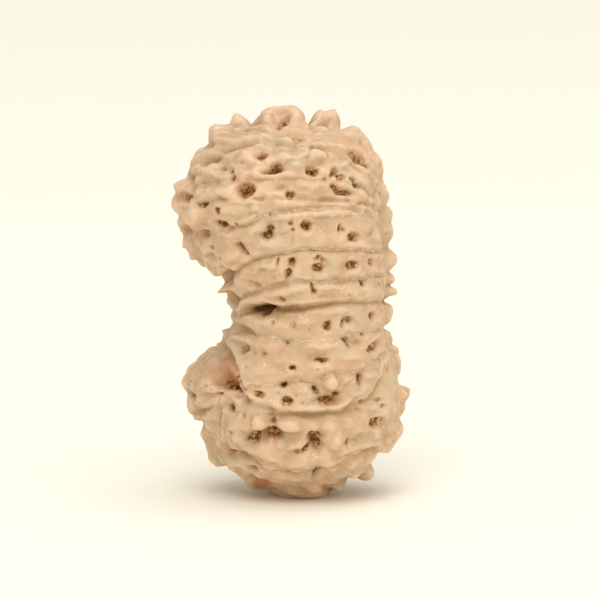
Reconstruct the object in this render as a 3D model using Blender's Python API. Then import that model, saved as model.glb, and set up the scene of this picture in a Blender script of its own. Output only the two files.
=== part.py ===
"""Nineteen mukhi rudraksha: one kidney shaped stone that stands on its lower lobe.

The stone is a stack of rounded sections through hand measured outline points. Nineteen mukhi lines
run over it from the pole line in the notch to the pole line on the outer side. Ribs, sheets, knobs,
folds, pits and the open crack are raised or sunk along the surface normal by formula.

All sizes below are in millimetres: x runs from the notch side to the outer side, y to the back, z up.
"""
import math

import bmesh
import bpy
import numpy as np
from mathutils import Vector, noise

MM = 0.001
SEED = 1908
SPHERE_STEPS = 7
TRIANGLES = 11700

# The line of sight along which the front features are measured: raised this much above level.
SIGHT_TILT = math.radians(8.0)
SIGHT_UP = np.array([0.0, math.sin(SIGHT_TILT), math.cos(SIGHT_TILT)])
TOWARDS_EYE = np.array([0.0, -math.cos(SIGHT_TILT), math.sin(SIGHT_TILT)])

# Height, x on the notch side, x on the outer side, half depth.
PROFILE = (
    (25.05, -0.3, -0.3, 0.0),
    (24.95, -1.3, 0.8, 1.0),
    (24.65, -2.2, 2.0, 2.0),
    (24.25, -3.1, 2.9, 2.9),
    (23.75, -4.0, 3.75, 3.7),
    (23.2, -4.8, 4.4, 4.35),
    (22.6, -5.4, 5.0, 4.9),
    (21.8, -6.05, 5.5, 5.5),
    (20.85, -6.8, 5.75, 6.0),
    (19.9, -7.2, 5.85, 6.35),
    (18.9, -7.42, 5.95, 6.6),
    (18.1, -7.37, 6.1, 6.75),
    (17.3, -7.2, 6.25, 6.8),
    (16.35, -6.85, 6.3, 6.8),
    (15.55, -6.5, 6.4, 6.75),
    (14.95, -5.9, 6.5, 6.7),
    (14.4, -5.2, 6.5, 6.65),
    (13.95, -4.55, 6.5, 6.6),
    (13.1, -4.1, 6.45, 6.55),
    (12.3, -4.02, 6.4, 6.5),
    (11.45, -4.0, 6.35, 6.5),
    (10.7, -4.12, 6.35, 6.6),
    (10.05, -4.4, 6.45, 6.7),
    (9.5, -5.0, 6.6, 6.8),
    (8.9, -5.9, 6.85, 6.9),
    (8.1, -6.6, 7.0, 7.0),
    (7.35, -6.9, 7.1, 7.05),
    (6.4, -6.8, 7.2, 7.05),
    (5.4, -6.45, 7.15, 6.95),
    (4.45, -5.9, 6.95, 6.7),
    (3.45, -5.45, 6.55, 6.3),
    (2.7, -5.1, 6.1, 5.8),
    (2.0, -4.8, 5.5, 5.15),
    (1.4, -4.2, 4.95, 4.45),
    (0.85, -3.15, 4.05, 3.6),
    (0.3, -2.3, 3.1, 2.7),
    (0.0, -1.75, 2.5, 2.1),
    (-0.3, -0.9, 1.6, 1.2),
    (-0.45, 0.35, 0.35, 0.0),
)
PROFILE_ROUNDING = 0.35
FLAT_SPOT = 0.03

# Pole lines: plan position, then the heights of their lower and upper ends.
INNER_POLE = (-4.1, -0.4, 9.8, 14.0)
OUTER_POLE = (6.5, -0.9, 9.9, 18.6)
CAP_RADIUS = 7.5
WAIST = 6.4

# Mukhi lines on the front, upper to lower: groove depth, how far the upper side stands proud, then x and
# height along the sight line.
MUKHI_LINES = (
    (0.2, 0.1, (-5.54, 20.83, -5.16, 21.21, -4.78, 21.53, -4.39, 21.78, -3.76, 21.97, -3.06, 22.17, -2.23,
                22.29, -0.89, 22.29, 0.38, 22.17, 1.85, 21.85, 3.44, 21.21, 4.59, 20.13)),
    (0.08, 0.06, (-6.43, 19.68, -5.41, 19.87, -3.89, 19.94, -1.85, 20, 0, 19.94, 1.97, 19.94, 3.76, 19.75,
                  4.97, 18.98)),
    (0.08, 0.04, (-6.88, 17.71, -5.48, 18.54, -3.82, 18.73, -1.85, 18.73, 0.57, 18.73, 3.76, 18.66, 5.16,
                  18.34)),
    (0.16, -0.08, (-6.31, 14.78, -5.8, 15.41, -5.03, 16.18, -4.39, 16.56, -3.57, 17.01, -2.93, 17.07,
                   -2.29, 17.39, -1.66, 17.71, -1.02, 17.96, 0.57, 18.09, 3.44, 18.15, 4.71, 17.96, 5.41,
                   17.26, 6.31, 17.07)),
    (0.18, 0.1, (-4.08, 13.82, -3.63, 14.08, -3.18, 14.39, -2.55, 14.84, -1.46, 15.16, -0.38, 15.35, 0.57,
                 15.48, 1.85, 15.54, 3.76, 15.54, 5.54, 15.48, 6.43, 15.8)),
    (0.16, 0.04, (-3.89, 12.17, -3.44, 12.42, -2.55, 12.74, -1.97, 13.06, -0.89, 13.38, 0.57, 13.5, 3.44,
                  13.57, 4.39, 13.76, 5.61, 13.95, 6.62, 13.95)),
    (0.2, 0.26, (-3.76, 11.66, -2.61, 11.72, -1.66, 11.97, -0.64, 11.78, 0.57, 11.85, 1.85, 12.04, 2.55,
                 12.17, 3.76, 12.29, 6.05, 12.42, 6.69, 12.42)),
    (0.12, 0.1, (-3.82, 11.02, -2.61, 10.38, -0.89, 9.94, 0.7, 9.81, 2.8, 9.94, 3.89, 10.19, 5.03, 10.45,
                 6.05, 10.7, 6.69, 10.83)),
    (0.1, 0.08, (-4.33, 9.62, -3.69, 8.79, -3.38, 7.9, -3.06, 6.82, 0.06, 7.2, 1.34, 7.2, 2.48, 7.52, 3.25,
                 7.58, 3.95, 7.77, 4.78, 8.03, 5.48, 8.34, 5.99, 9.04, 6.82, 9.36)),
    (0.14, 0.2, (-4.84, 6.5, -3.25, 6.37, -1.85, 5.73, -0.7, 5.41, 0.57, 5.29, 1.85, 5.29, 3.12, 5.41,
                 3.82, 5.86, 4.65, 6.11, 5.41, 6.94, 5.86, 8.15)),
    (0.16, 0.4, (-4.59, 5.67, -4.52, 4.71, -4.33, 4.01, -4.08, 3.57, -3.82, 3.18, -3.38, 2.87, -2.87, 2.74,
                 -2.36, 2.36, -1.85, 2.04, -1.34, 1.72, -0.51, 1.78, 0.57, 1.53, 1.34, 1.53, 1.78, 1.85,
                 2.48, 2.1, 2.93, 2.23, 3.82, 2.61, 5.03, 3.06, 6.24, 3.18)),
    (0.16, 0.5, (-4.2, 1.78, -2.48, 1.4, -2.1, 1.27, -1.34, 0.96, -0.38, 0.64, 0.57, 0.7, 1.85, 0.76, 3.12,
                 0.83, 3.89, 1.34, 4.78, 1.91, 5.73, 2.48)),
)
# Angles of the front lines on the upper and lower lobe, share of the waist for the ones between.
UPPER_ANGLES = (58.0, 39.0, 29.0, 21.0)
WAIST_SHARES = (0.08, 0.38, 0.62, 0.95)
LOWER_ANGLES = (18.0, 30.0, 55.0, 67.0)
# The seven lines that run over the top, the back and the underside.
REAR_UPPER_ANGLES = (95.0, 132.0, 169.0)
REAR_WAIST_SHARES = (0.5,)
REAR_LOWER_ANGLES = (169.0, 135.0, 101.0)

# Creases that aren't mukhi lines: depth, half width, how far the upper side stands proud, x and height.
CREASES = (
    (0.1, 0.15, 0.2, (-5.54, 20.83, -5.16, 21.21, -4.78, 21.53, -4.39, 21.78, -3.76, 21.97, -3.06, 22.17,
                      -2.23, 22.29, -0.89, 22.29, 0.25, 22.1)),
    (0.14, 0.15, 0.3, (-4.27, 9.55, -3.82, 8.85, -3.57, 8.15, -3.38, 7.39, -3.06, 6.82)),
    (0.1, 0.15, 0, (-5.22, 20.83, -4.84, 21.08, -4.39, 21.34)),
    (0.3, 0.2, 0, (-6.43, 20.51, -6.31, 19.75, -6.31, 19.04)),
    (0.12, 0.25, 0, (-5.61, 8.85, -5.67, 7.9, -5.48, 6.94)),
    (0.2, 0.13, 0, (-5.86, 5.29, -5.48, 5.48, -5.03, 5.67)),
    (0.1, 0.15, 0, (0.89, 22.17, 1.97, 22.42, 3.12, 22.17)),
    (0.12, 0.13, 0, (4.2, 22.36, 4.52, 22.04, 4.78, 21.72)),
    (0.1, 0.1, 0, (0, 17.83, 0, 15.86)),
    (0.3, 0.13, 0, (-3.82, 11.02, -3.25, 10.7, -2.55, 10.25)),
    (0.14, 0.1, 0, (5.86, 9.49, 5.92, 9.04, 5.67, 8.73, 5.29, 8.6)),
    (0.1, 0.1, 0, (0.51, 7.32, 0.96, 7.2, 1.4, 7.13)),
    (0.12, 0.09, 0, (3.44, 18.73, 3.57, 18.41, 3.89, 18.28, 4.2, 18.47)),
    (0.14, 0.09, 0, (0.89, 21.27, 1.02, 21.66, 1.27, 21.85, 1.66, 21.91, 2.04, 21.72, 2.23, 21.34)),
    (0.3, 0.15, 0, (2.04, 0.7, 1.97, 0)),
    (0.26, 0.14, 0, (3.57, 0.89, 3.69, 0.25)),
    (0.2, 0.13, 0, (0.96, 23.95, 1.15, 23.18)),
    (0.16, 0.13, 0, (1.27, 24.33, 1.53, 23.76, 1.97, 23.31, 2.36, 23.06)),
    (0.1, 0.11, 0, (-2.1, 12.8, -1.02, 13.18, -0.38, 13.31)),
)

# The open crack across the waist: x, depth.
CRACK_LINE = 6
CRACK_DEPTH = ((-4.0, 0.3), (-2.7, 0.6), (-1.9, 0.85), (-1.2, 0.75), (-0.6, 0.55), (0.9, 0.4), (2.6, 0.3),
               (4.0, 0.15), (6.0, 0.05))

CRACK_HALF_WIDTH = 0.3
LINE_HALF_WIDTH = 0.2
LINE_EXTRA_DEPTH = 0.05
LEDGE_REACH = 0.8
REAR_LINE_DEPTH = 0.32
BAND_SWELL = 0.14
REAR_BAND_SWELL = 0.26
# The profile runs over the knobs, so the ground between them lies this much lower.
GROUND_DROP = 0.45
TOP_DROP = 0.55

# Spots of relief on the front: x, height along the sight line, half length, half width, turn in degrees,
# height or depth. Rim knobs and notches are measured along the outline and from front to back.
KNOBS = (
    (-2.1, 23.12, 1.15, 0.45, 0, 0.16), (-4.65, 22.8, 0.89, 0.45, 15, 0.24),
    (-4.2, 22.36, 0.76, 0.19, 15, 0.16), (-3.38, 23.5, 0.51, 0.45, 0, 0.2),
    (-5.8, 21.46, 0.51, 0.64, 20, 0.16), (-4.78, 20.7, 0.38, 0.25, 10, 0.16),
    (-5.48, 20.45, 0.96, 0.25, 0, 0.2), (-2.61, 21.08, 0.89, 0.38, 0, 0.18),
    (1.53, 23.5, 0.89, 0.38, 0, 0.12), (3.76, 22.74, 0.76, 0.7, -30, 0.3),
    (2.48, 22.17, 0.89, 0.38, -10, 0.14), (0.57, 21.91, 0.64, 0.32, 10, 0.12),
    (1.72, 20.45, 0.51, 0.25, 0, 0.1), (0.32, 20.96, 0.45, 0.51, 0, 0.16),
    (1.4, 19.55, 1.02, 0.51, 0, 0.24), (3.63, 19.87, 0.64, 0.19, -20, 0.16),
    (4.71, 20.13, 0.32, 0.51, 0, 0.12), (-1.34, 20.13, 1.27, 0.22, 0, 0.22),
    (-4.39, 18.92, 1.15, 0.38, 0, 0.18), (-3.06, 18.54, 1.27, 0.29, 0, 0.22),
    (-1.46, 18.79, 0.32, 0.32, 30, 0.14), (-0.38, 18.54, 0.64, 0.38, 0, 0.16),
    (3.82, 18.54, 0.38, 0.25, 0, 0.1), (2.8, 19.94, 0.64, 0.19, 0, 0.12), (4.39, 19.04, 0.38, 0.45, 0, 0.1),
    (-7.13, 18.73, 0.45, 1.08, 0, 0.34), (-5.61, 17.71, 0.38, 0.64, 0, 0.14),
    (-3.76, 17.96, 0.89, 0.45, 0, 0.14), (-2.61, 17.32, 1.4, 0.25, 22, 0.24),
    (-4.39, 16.18, 0.45, 0.64, 0, 0.14), (-5.73, 15.48, 0.64, 0.57, 30, 0.5),
    (-6.62, 16.05, 0.32, 0.45, 0, 0.2), (-5.22, 15.03, 0.25, 0.32, 30, 0.14),
    (-5.41, 14.52, 0.45, 0.32, 0, 0.24), (-3.82, 15.22, 0.64, 0.51, 20, 0.32),
    (-4.71, 14.39, 0.25, 0.45, 0, 0.22), (2.48, 17.71, 1.66, 0.23, -2, 0.22),
    (-0.38, 17.52, 1.15, 0.23, 10, 0.2), (-1.34, 15.86, 1.02, 0.32, 4, 0.12),
    (2.48, 16.18, 0.89, 0.38, 0, 0.1), (0.89, 16.43, 0.64, 0.32, 0, 0.1),
    (4.59, 17.13, 0.45, 0.76, 0, 0.14), (-1.46, 14.52, 0.76, 0.32, 10, 0.2),
    (0.89, 14.78, 0.45, 0.45, 0, 0.1), (2.68, 14.78, 0.51, 0.51, 0, 0.12),
    (0.57, 13.82, 0.89, 0.19, 0, 0.08), (2.48, 14.01, 0.51, 0.25, 0, 0.08),
    (-2.93, 13.38, 0.51, 0.51, 0, 0.16), (-1.02, 12.93, 1.15, 0.29, 8, 0.26),
    (2.48, 13.18, 0.89, 0.25, 0, 0.2), (0.25, 13.12, 0.64, 0.32, 0, 0.14),
    (-2.93, 12.29, 0.51, 0.25, 15, 0.2), (5.03, 12.87, 0.51, 0.32, 0, 0.1),
    (-3.06, 11.46, 0.38, 0.32, 0, 0.22), (-4.2, 10.19, 0.32, 0.25, 0, 0.22),
    (-3.18, 9.94, 0.7, 0.19, 0, 0.26), (0.7, 11.02, 0.64, 0.51, 0, 0.2),
    (-1.85, 10.96, 0.51, 0.32, 0, 0.14), (2.8, 11.59, 0.89, 0.25, 0, 0.12),
    (4.27, 11.08, 0.38, 0.38, 0, 0.1), (3.12, 10.51, 1.27, 0.25, 0, 0.08),
    (4.71, 10.06, 0.51, 0.25, 0, 0.14), (-1.85, 9.55, 0.76, 0.45, 0, 0.16),
    (1.85, 9.49, 1.27, 0.32, 0, 0.2), (3.76, 8.79, 0.89, 0.38, 0, 0.18), (-0.7, 8.54, 0.76, 0.51, 0, 0.14),
    (0.45, 7.9, 0.64, 0.51, 0, 0.12), (-2.29, 7.77, 0.76, 0.64, 0, 0.2), (0.57, 6.75, 0.57, 0.38, 0, 0.18),
    (3.5, 7.32, 0.45, 0.32, 0, 0.2), (3.44, 6.5, 0.51, 0.51, 0, 0.12), (4.78, 7.64, 0.45, 0.32, 0, 0.14),
    (-2.29, 5.99, 0.38, 0.51, 0, 0.18), (-0.96, 5.8, 0.45, 0.45, -30, 0.2),
    (1.97, 5.61, 1.66, 0.25, 4, 0.28), (-5.41, 7.13, 0.32, 1.02, 0, 0.14),
    (-3.95, 7.64, 0.16, 0.51, 32, 0.3), (-6.31, 7.26, 0.51, 0.89, 10, 0.2),
    (-3.89, 6.18, 0.76, 0.25, -30, 0.2), (-5.22, 5.03, 0.45, 0.51, 0, 0.16),
    (-5.03, 3.44, 0.38, 1.02, 0, 0.16), (-3.38, 4.2, 0.64, 0.89, 0, 0.26),
    (-3.57, 2.04, 0.32, 0.32, 0, 0.24), (-4.97, 2.48, 0.45, 0.57, 0, 0.2),
    (-1.66, 2.8, 1.02, 0.57, -15, 0.18), (-0.19, 4.39, 0.83, 0.38, 0, 0.34),
    (0.13, 3.25, 0.64, 0.38, 0, 0.2), (2.61, 3.95, 0.57, 0.89, 0, 0.26), (3.44, 4.46, 0.32, 0.51, 0, 0.1),
    (4.2, 3.12, 0.76, 0.25, 15, 0.18), (4.39, 4.39, 0.51, 0.64, 0, 0.14), (6.18, 4.39, 0.38, 0.64, 0, 0.14),
    (1.21, 2.17, 1.02, 0.51, 0, 0.2), (-0.38, 2.04, 0.64, 0.32, 0, 0.16),
    (-0.96, 1.27, 0.89, 0.25, -14, 0.16), (0.57, 1.08, 0.89, 0.25, 0, 0.16),
    (2.99, 1.53, 0.64, 0.51, 0, 0.2), (4.08, 2.04, 0.51, 0.38, 30, 0.14), (5.99, 5.99, 0.38, 0.89, 0, 0.14),
    (5.54, 7.58, 0.38, 0.64, 0, 0.1),
)
RIM_KNOBS = (
    (-3.18, 23.89, 0.57, 1.02, 0, 0.8), (-4.01, 23.5, 0.57, 0.76, 0, 0.28),
    (-1.59, 24.2, 0.76, 1.53, 0, 0.62), (-0.06, 24.39, 1.08, 1.91, 0, 0.72),
    (1.85, 24.2, 0.83, 1.53, 0, 0.86), (2.68, 24.01, 0.45, 1.15, 0, 0.28),
    (4.01, 22.99, 0.76, 0.76, 0, 0.22), (4.9, 22.42, 0.64, 0.64, 0, 0.14),
    (5.67, 21.21, 0.64, 0.57, 0, 0.1), (6.75, 14.65, 0.57, 0.76, 0, 0.46),
    (6.69, 13.69, 0.35, 0.57, 0, 0.54), (6.69, 12.99, 0.35, 0.57, 0, 0.52),
    (6.62, 11.59, 0.57, 0.64, 0, 0.24), (6.5, 9.75, 0.57, 0.64, 0, 0.2), (6.94, 8.92, 0.57, 0.7, 0, 0.2),
    (7.13, 8.15, 0.57, 0.7, 0, 0.1), (7.52, 6.5, 0.64, 0.83, 0, 0.5), (7.26, 5.22, 0.64, 0.76, 0, 0.26),
    (7.01, 3.82, 0.7, 0.83, 0, 0.34), (6.37, 2.87, 0.51, 0.64, 0, 0.26), (4.97, 1.27, 0.7, 0.96, 0, 0.5),
    (3.18, 0.38, 0.64, 0.64, 0, 0.24), (0.76, 0.06, 1.15, 0.51, 0, 0.5), (-2.61, 0.45, 0.64, 0.51, 0, 0.36),
    (-4.9, 2.1, 0.57, 0.57, 0, 0.5), (-5.35, 2.93, 0.64, 0.57, 0, 0.2), (-5.61, 4.08, 0.57, 0.51, 0, 0.18),
    (-6.31, 5.29, 0.76, 0.76, 0, 0.24), (-6.69, 6.43, 0.7, 0.76, 0, 0.12),
    (-6.75, 7.32, 0.89, 0.89, 0, 0.3), (-6.43, 8.22, 0.57, 0.64, 0, 0.14),
    (-5.8, 8.73, 0.57, 0.64, 0, 0.28), (-5.03, 9.36, 0.51, 0.57, 0, 0.34),
    (-4.52, 10.19, 0.32, 0.51, 0, 0.6), (-3.82, 11.85, 0.76, 0.51, 0, 0.56),
    (-4.65, 12.99, 0.35, 0.64, 0, 1.2), (-4.9, 14.27, 0.45, 0.51, 0, 0.36),
    (-6.11, 14.9, 0.57, 0.64, 0, 0.5), (-6.56, 15.54, 0.57, 0.51, 0, 0.3),
    (-7.13, 17.07, 0.51, 0.57, 0, 0.36), (-7.52, 18.73, 1.15, 0.89, 0, 0.4),
    (-7.2, 19.87, 0.57, 0.7, 0, 0.34), (-6.56, 20.76, 0.64, 0.7, 0, 0.3), (-6.18, 21.59, 0.7, 0.7, 0, 0.36),
    (-5.1, 22.99, 0.64, 0.64, 0, 0.6),
)
NOTCHES = (
    (1.08, 24.01, 0.29, 2.55, 0, 1), (-2.23, 23.95, 0.25, 1.91, 0, 0.3), (-2.61, 23.76, 0.32, 2.17, 0, 0.5),
    (3.31, 23.57, 0.32, 2.17, 0, 0.5), (5.22, 2.23, 0.51, 2.17, 0, 1.35), (2.42, 0.19, 0.32, 1.53, 0, 0.8),
    (-3.76, 1.4, 0.7, 1.27, 0, 0.85), (6.18, 12.36, 0.25, 2.29, 0, 1), (6.11, 10.64, 0.25, 2.29, 0, 0.8),
    (6.24, 15.73, 0.32, 1.91, 0, 0.15), (6.94, 7.26, 0.32, 1.91, 0, 0.6),
    (-4.08, 13.69, 0.25, 2.29, 0, 1.1), (-5.67, 4.59, 0.32, 1.53, 0, 0.4),
    (-4.08, 9.81, 0.38, 1.53, 0, 0.4), (-3.76, 10.76, 0.32, 1.27, 0, 0.25),
    (-5.54, 22.36, 0.32, 0.51, 0, 0.2),
)
FIRM_KNOBS = (
    (2.36, 7.13, 0.54, 0.57, 0, 0.55), (-2.1, 4.84, 0.54, 0.89, 0, 0.5), (1.59, 21.4, 0.64, 0.51, 0, 0.3),
    (-6.05, 17.58, 0.45, 0.76, 0, 0.36), (-0.25, 4.39, 0.76, 0.45, 0, 0.16),
)
HOLLOWS = (
    (-0.25, 22.8, 0.83, 0.29, 0, 0.36), (-5.03, 21.27, 0.57, 0.25, 38, 0.3),
    (-4.01, 21.85, 0.51, 0.19, 15, 0.2), (-5.22, 19.81, 1.15, 0.51, 0, 0.3),
    (-6.31, 19.75, 0.19, 0.76, 0, 0.36), (-6.69, 18.15, 0.32, 0.57, 0, 0.3),
    (-0.64, 19.49, 0.76, 0.32, 0, 0.32), (-2.93, 23.06, 0.32, 0.25, 0, 0.26),
    (-1.15, 23.69, 0.38, 0.22, 0, 0.24), (-1.34, 21.85, 1.27, 0.25, 0, 0.2),
    (-4.39, 20.96, 0.38, 0.32, 0, 0.22), (1.59, 20.89, 0.57, 0.32, 0, 0.2),
    (3.31, 20.51, 0.45, 0.32, 0, 0.24), (2.99, 19.36, 0.64, 0.32, -15, 0.3),
    (5.48, 20.83, 0.32, 0.25, 0, 0.24), (4.08, 21.4, 0.7, 0.45, -40, 0.24),
    (1.85, 18.47, 1.53, 0.29, 0, 0.14), (0.76, 24.01, 0.25, 0.32, 0, 0.1),
    (0.13, 21.85, 0.32, 0.25, 0, 0.2), (2.17, 17.13, 0.89, 0.45, 0, 0.16),
    (5.61, 16.82, 0.22, 0.76, 0, 0.2), (-5.54, 17.13, 0.38, 0.25, 0, 0.26),
    (-6.31, 16.75, 0.57, 0.57, 0, 0.5), (-5.61, 16.43, 0.38, 0.38, 30, 0.4),
    (-4.9, 14.97, 0.22, 0.51, 20, 0.34), (-4.01, 14.2, 0.51, 0.38, 0, 0.5),
    (-4.2, 16.88, 0.57, 0.32, 0, 0.16), (-1.53, 17.2, 0.32, 0.32, 0, 0.2),
    (-3.25, 15.67, 0.57, 0.45, -40, 0.24), (-2.42, 13.44, 0.45, 0.25, -10, 0.24),
    (-3.57, 12.48, 0.51, 0.38, 0, 0.5), (2.48, 12.55, 1.4, 0.25, 0, 0.24),
    (3.44, 14.39, 0.51, 0.32, 0, 0.1), (4.65, 14.52, 0.32, 0.51, 0, 0.14),
    (5.54, 14.52, 0.19, 0.38, 0, 0.14), (-0.38, 11.72, 1.53, 0.25, 0, 0.12),
    (-1.85, 11.59, 1.08, 0.32, 0, 0.5), (-3.18, 10.7, 0.7, 0.25, -25, 0.44),
    (-3.63, 10.32, 0.76, 0.19, 0, 0.24), (-3.25, 9.55, 0.51, 0.25, 0, 0.3),
    (-4.39, 8.98, 0.45, 0.45, 0, 0.2), (1.72, 8.92, 0.89, 0.32, 0, 0.36),
    (4.08, 9.68, 0.51, 0.25, -10, 0.2), (5.61, 8.85, 0.32, 0.38, -40, 0.2),
    (-0.38, 7.32, 0.51, 0.25, 0, 0.18), (2.29, 6.11, 0.96, 0.45, 0, 0.55),
    (1.53, 6.75, 0.32, 0.38, 20, 0.3), (2.8, 8.22, 0.38, 0.38, 0, 0.14),
    (-4.52, 7.52, 1.02, 0.64, -42, 0.9), (-3.76, 6.88, 0.7, 0.25, -30, 0.34),
    (-6.24, 6.43, 0.45, 0.25, -25, 0.36), (-5.8, 5.35, 0.45, 0.32, 30, 0.3),
    (-4.14, 5.67, 0.51, 0.32, -25, 0.3), (-2.93, 5.86, 0.25, 0.64, 0, 0.2),
    (-1.46, 5.1, 0.38, 0.64, -25, 0.34), (-1.85, 3.82, 1.08, 0.38, 4, 0.5),
    (-0.19, 5.1, 0.89, 0.25, 0, 0.26), (1.85, 5.16, 1.4, 0.25, 2, 0.2), (3.76, 5.41, 0.51, 0.38, 0, 0.22),
    (3.89, 3.63, 0.76, 0.32, 0, 0.18), (5.92, 4.08, 0.32, 0.51, 0, 0.12),
    (-2.99, 2.55, 0.7, 0.25, -22, 0.34), (-4.01, 2.99, 0.38, 0.45, -35, 0.34),
    (-1.4, 0.7, 1.08, 0.45, -14, 0.62), (1.46, 3.18, 0.57, 0.64, 0, 0.3), (3.5, 0.96, 0.57, 0.32, 30, 0.3),
    (4.65, 2.74, 0.76, 0.25, 15, 0.1), (-2.42, 1.78, 0.32, 0.19, 0, 0.2), (6.75, 5.41, 0.25, 0.51, 0, 0.16),
    (5.67, 2.48, 0.57, 0.25, 0, 0.3), (0.57, 5.16, 0.64, 0.19, 0, 0.1), (-1.85, 10.45, 0.89, 0.38, 0, 0.12),
    (-2.74, 10.45, 0.32, 0.25, 0, 0.3), (4.39, 12.74, 0.51, 0.19, 0, 0.12),
)
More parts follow.
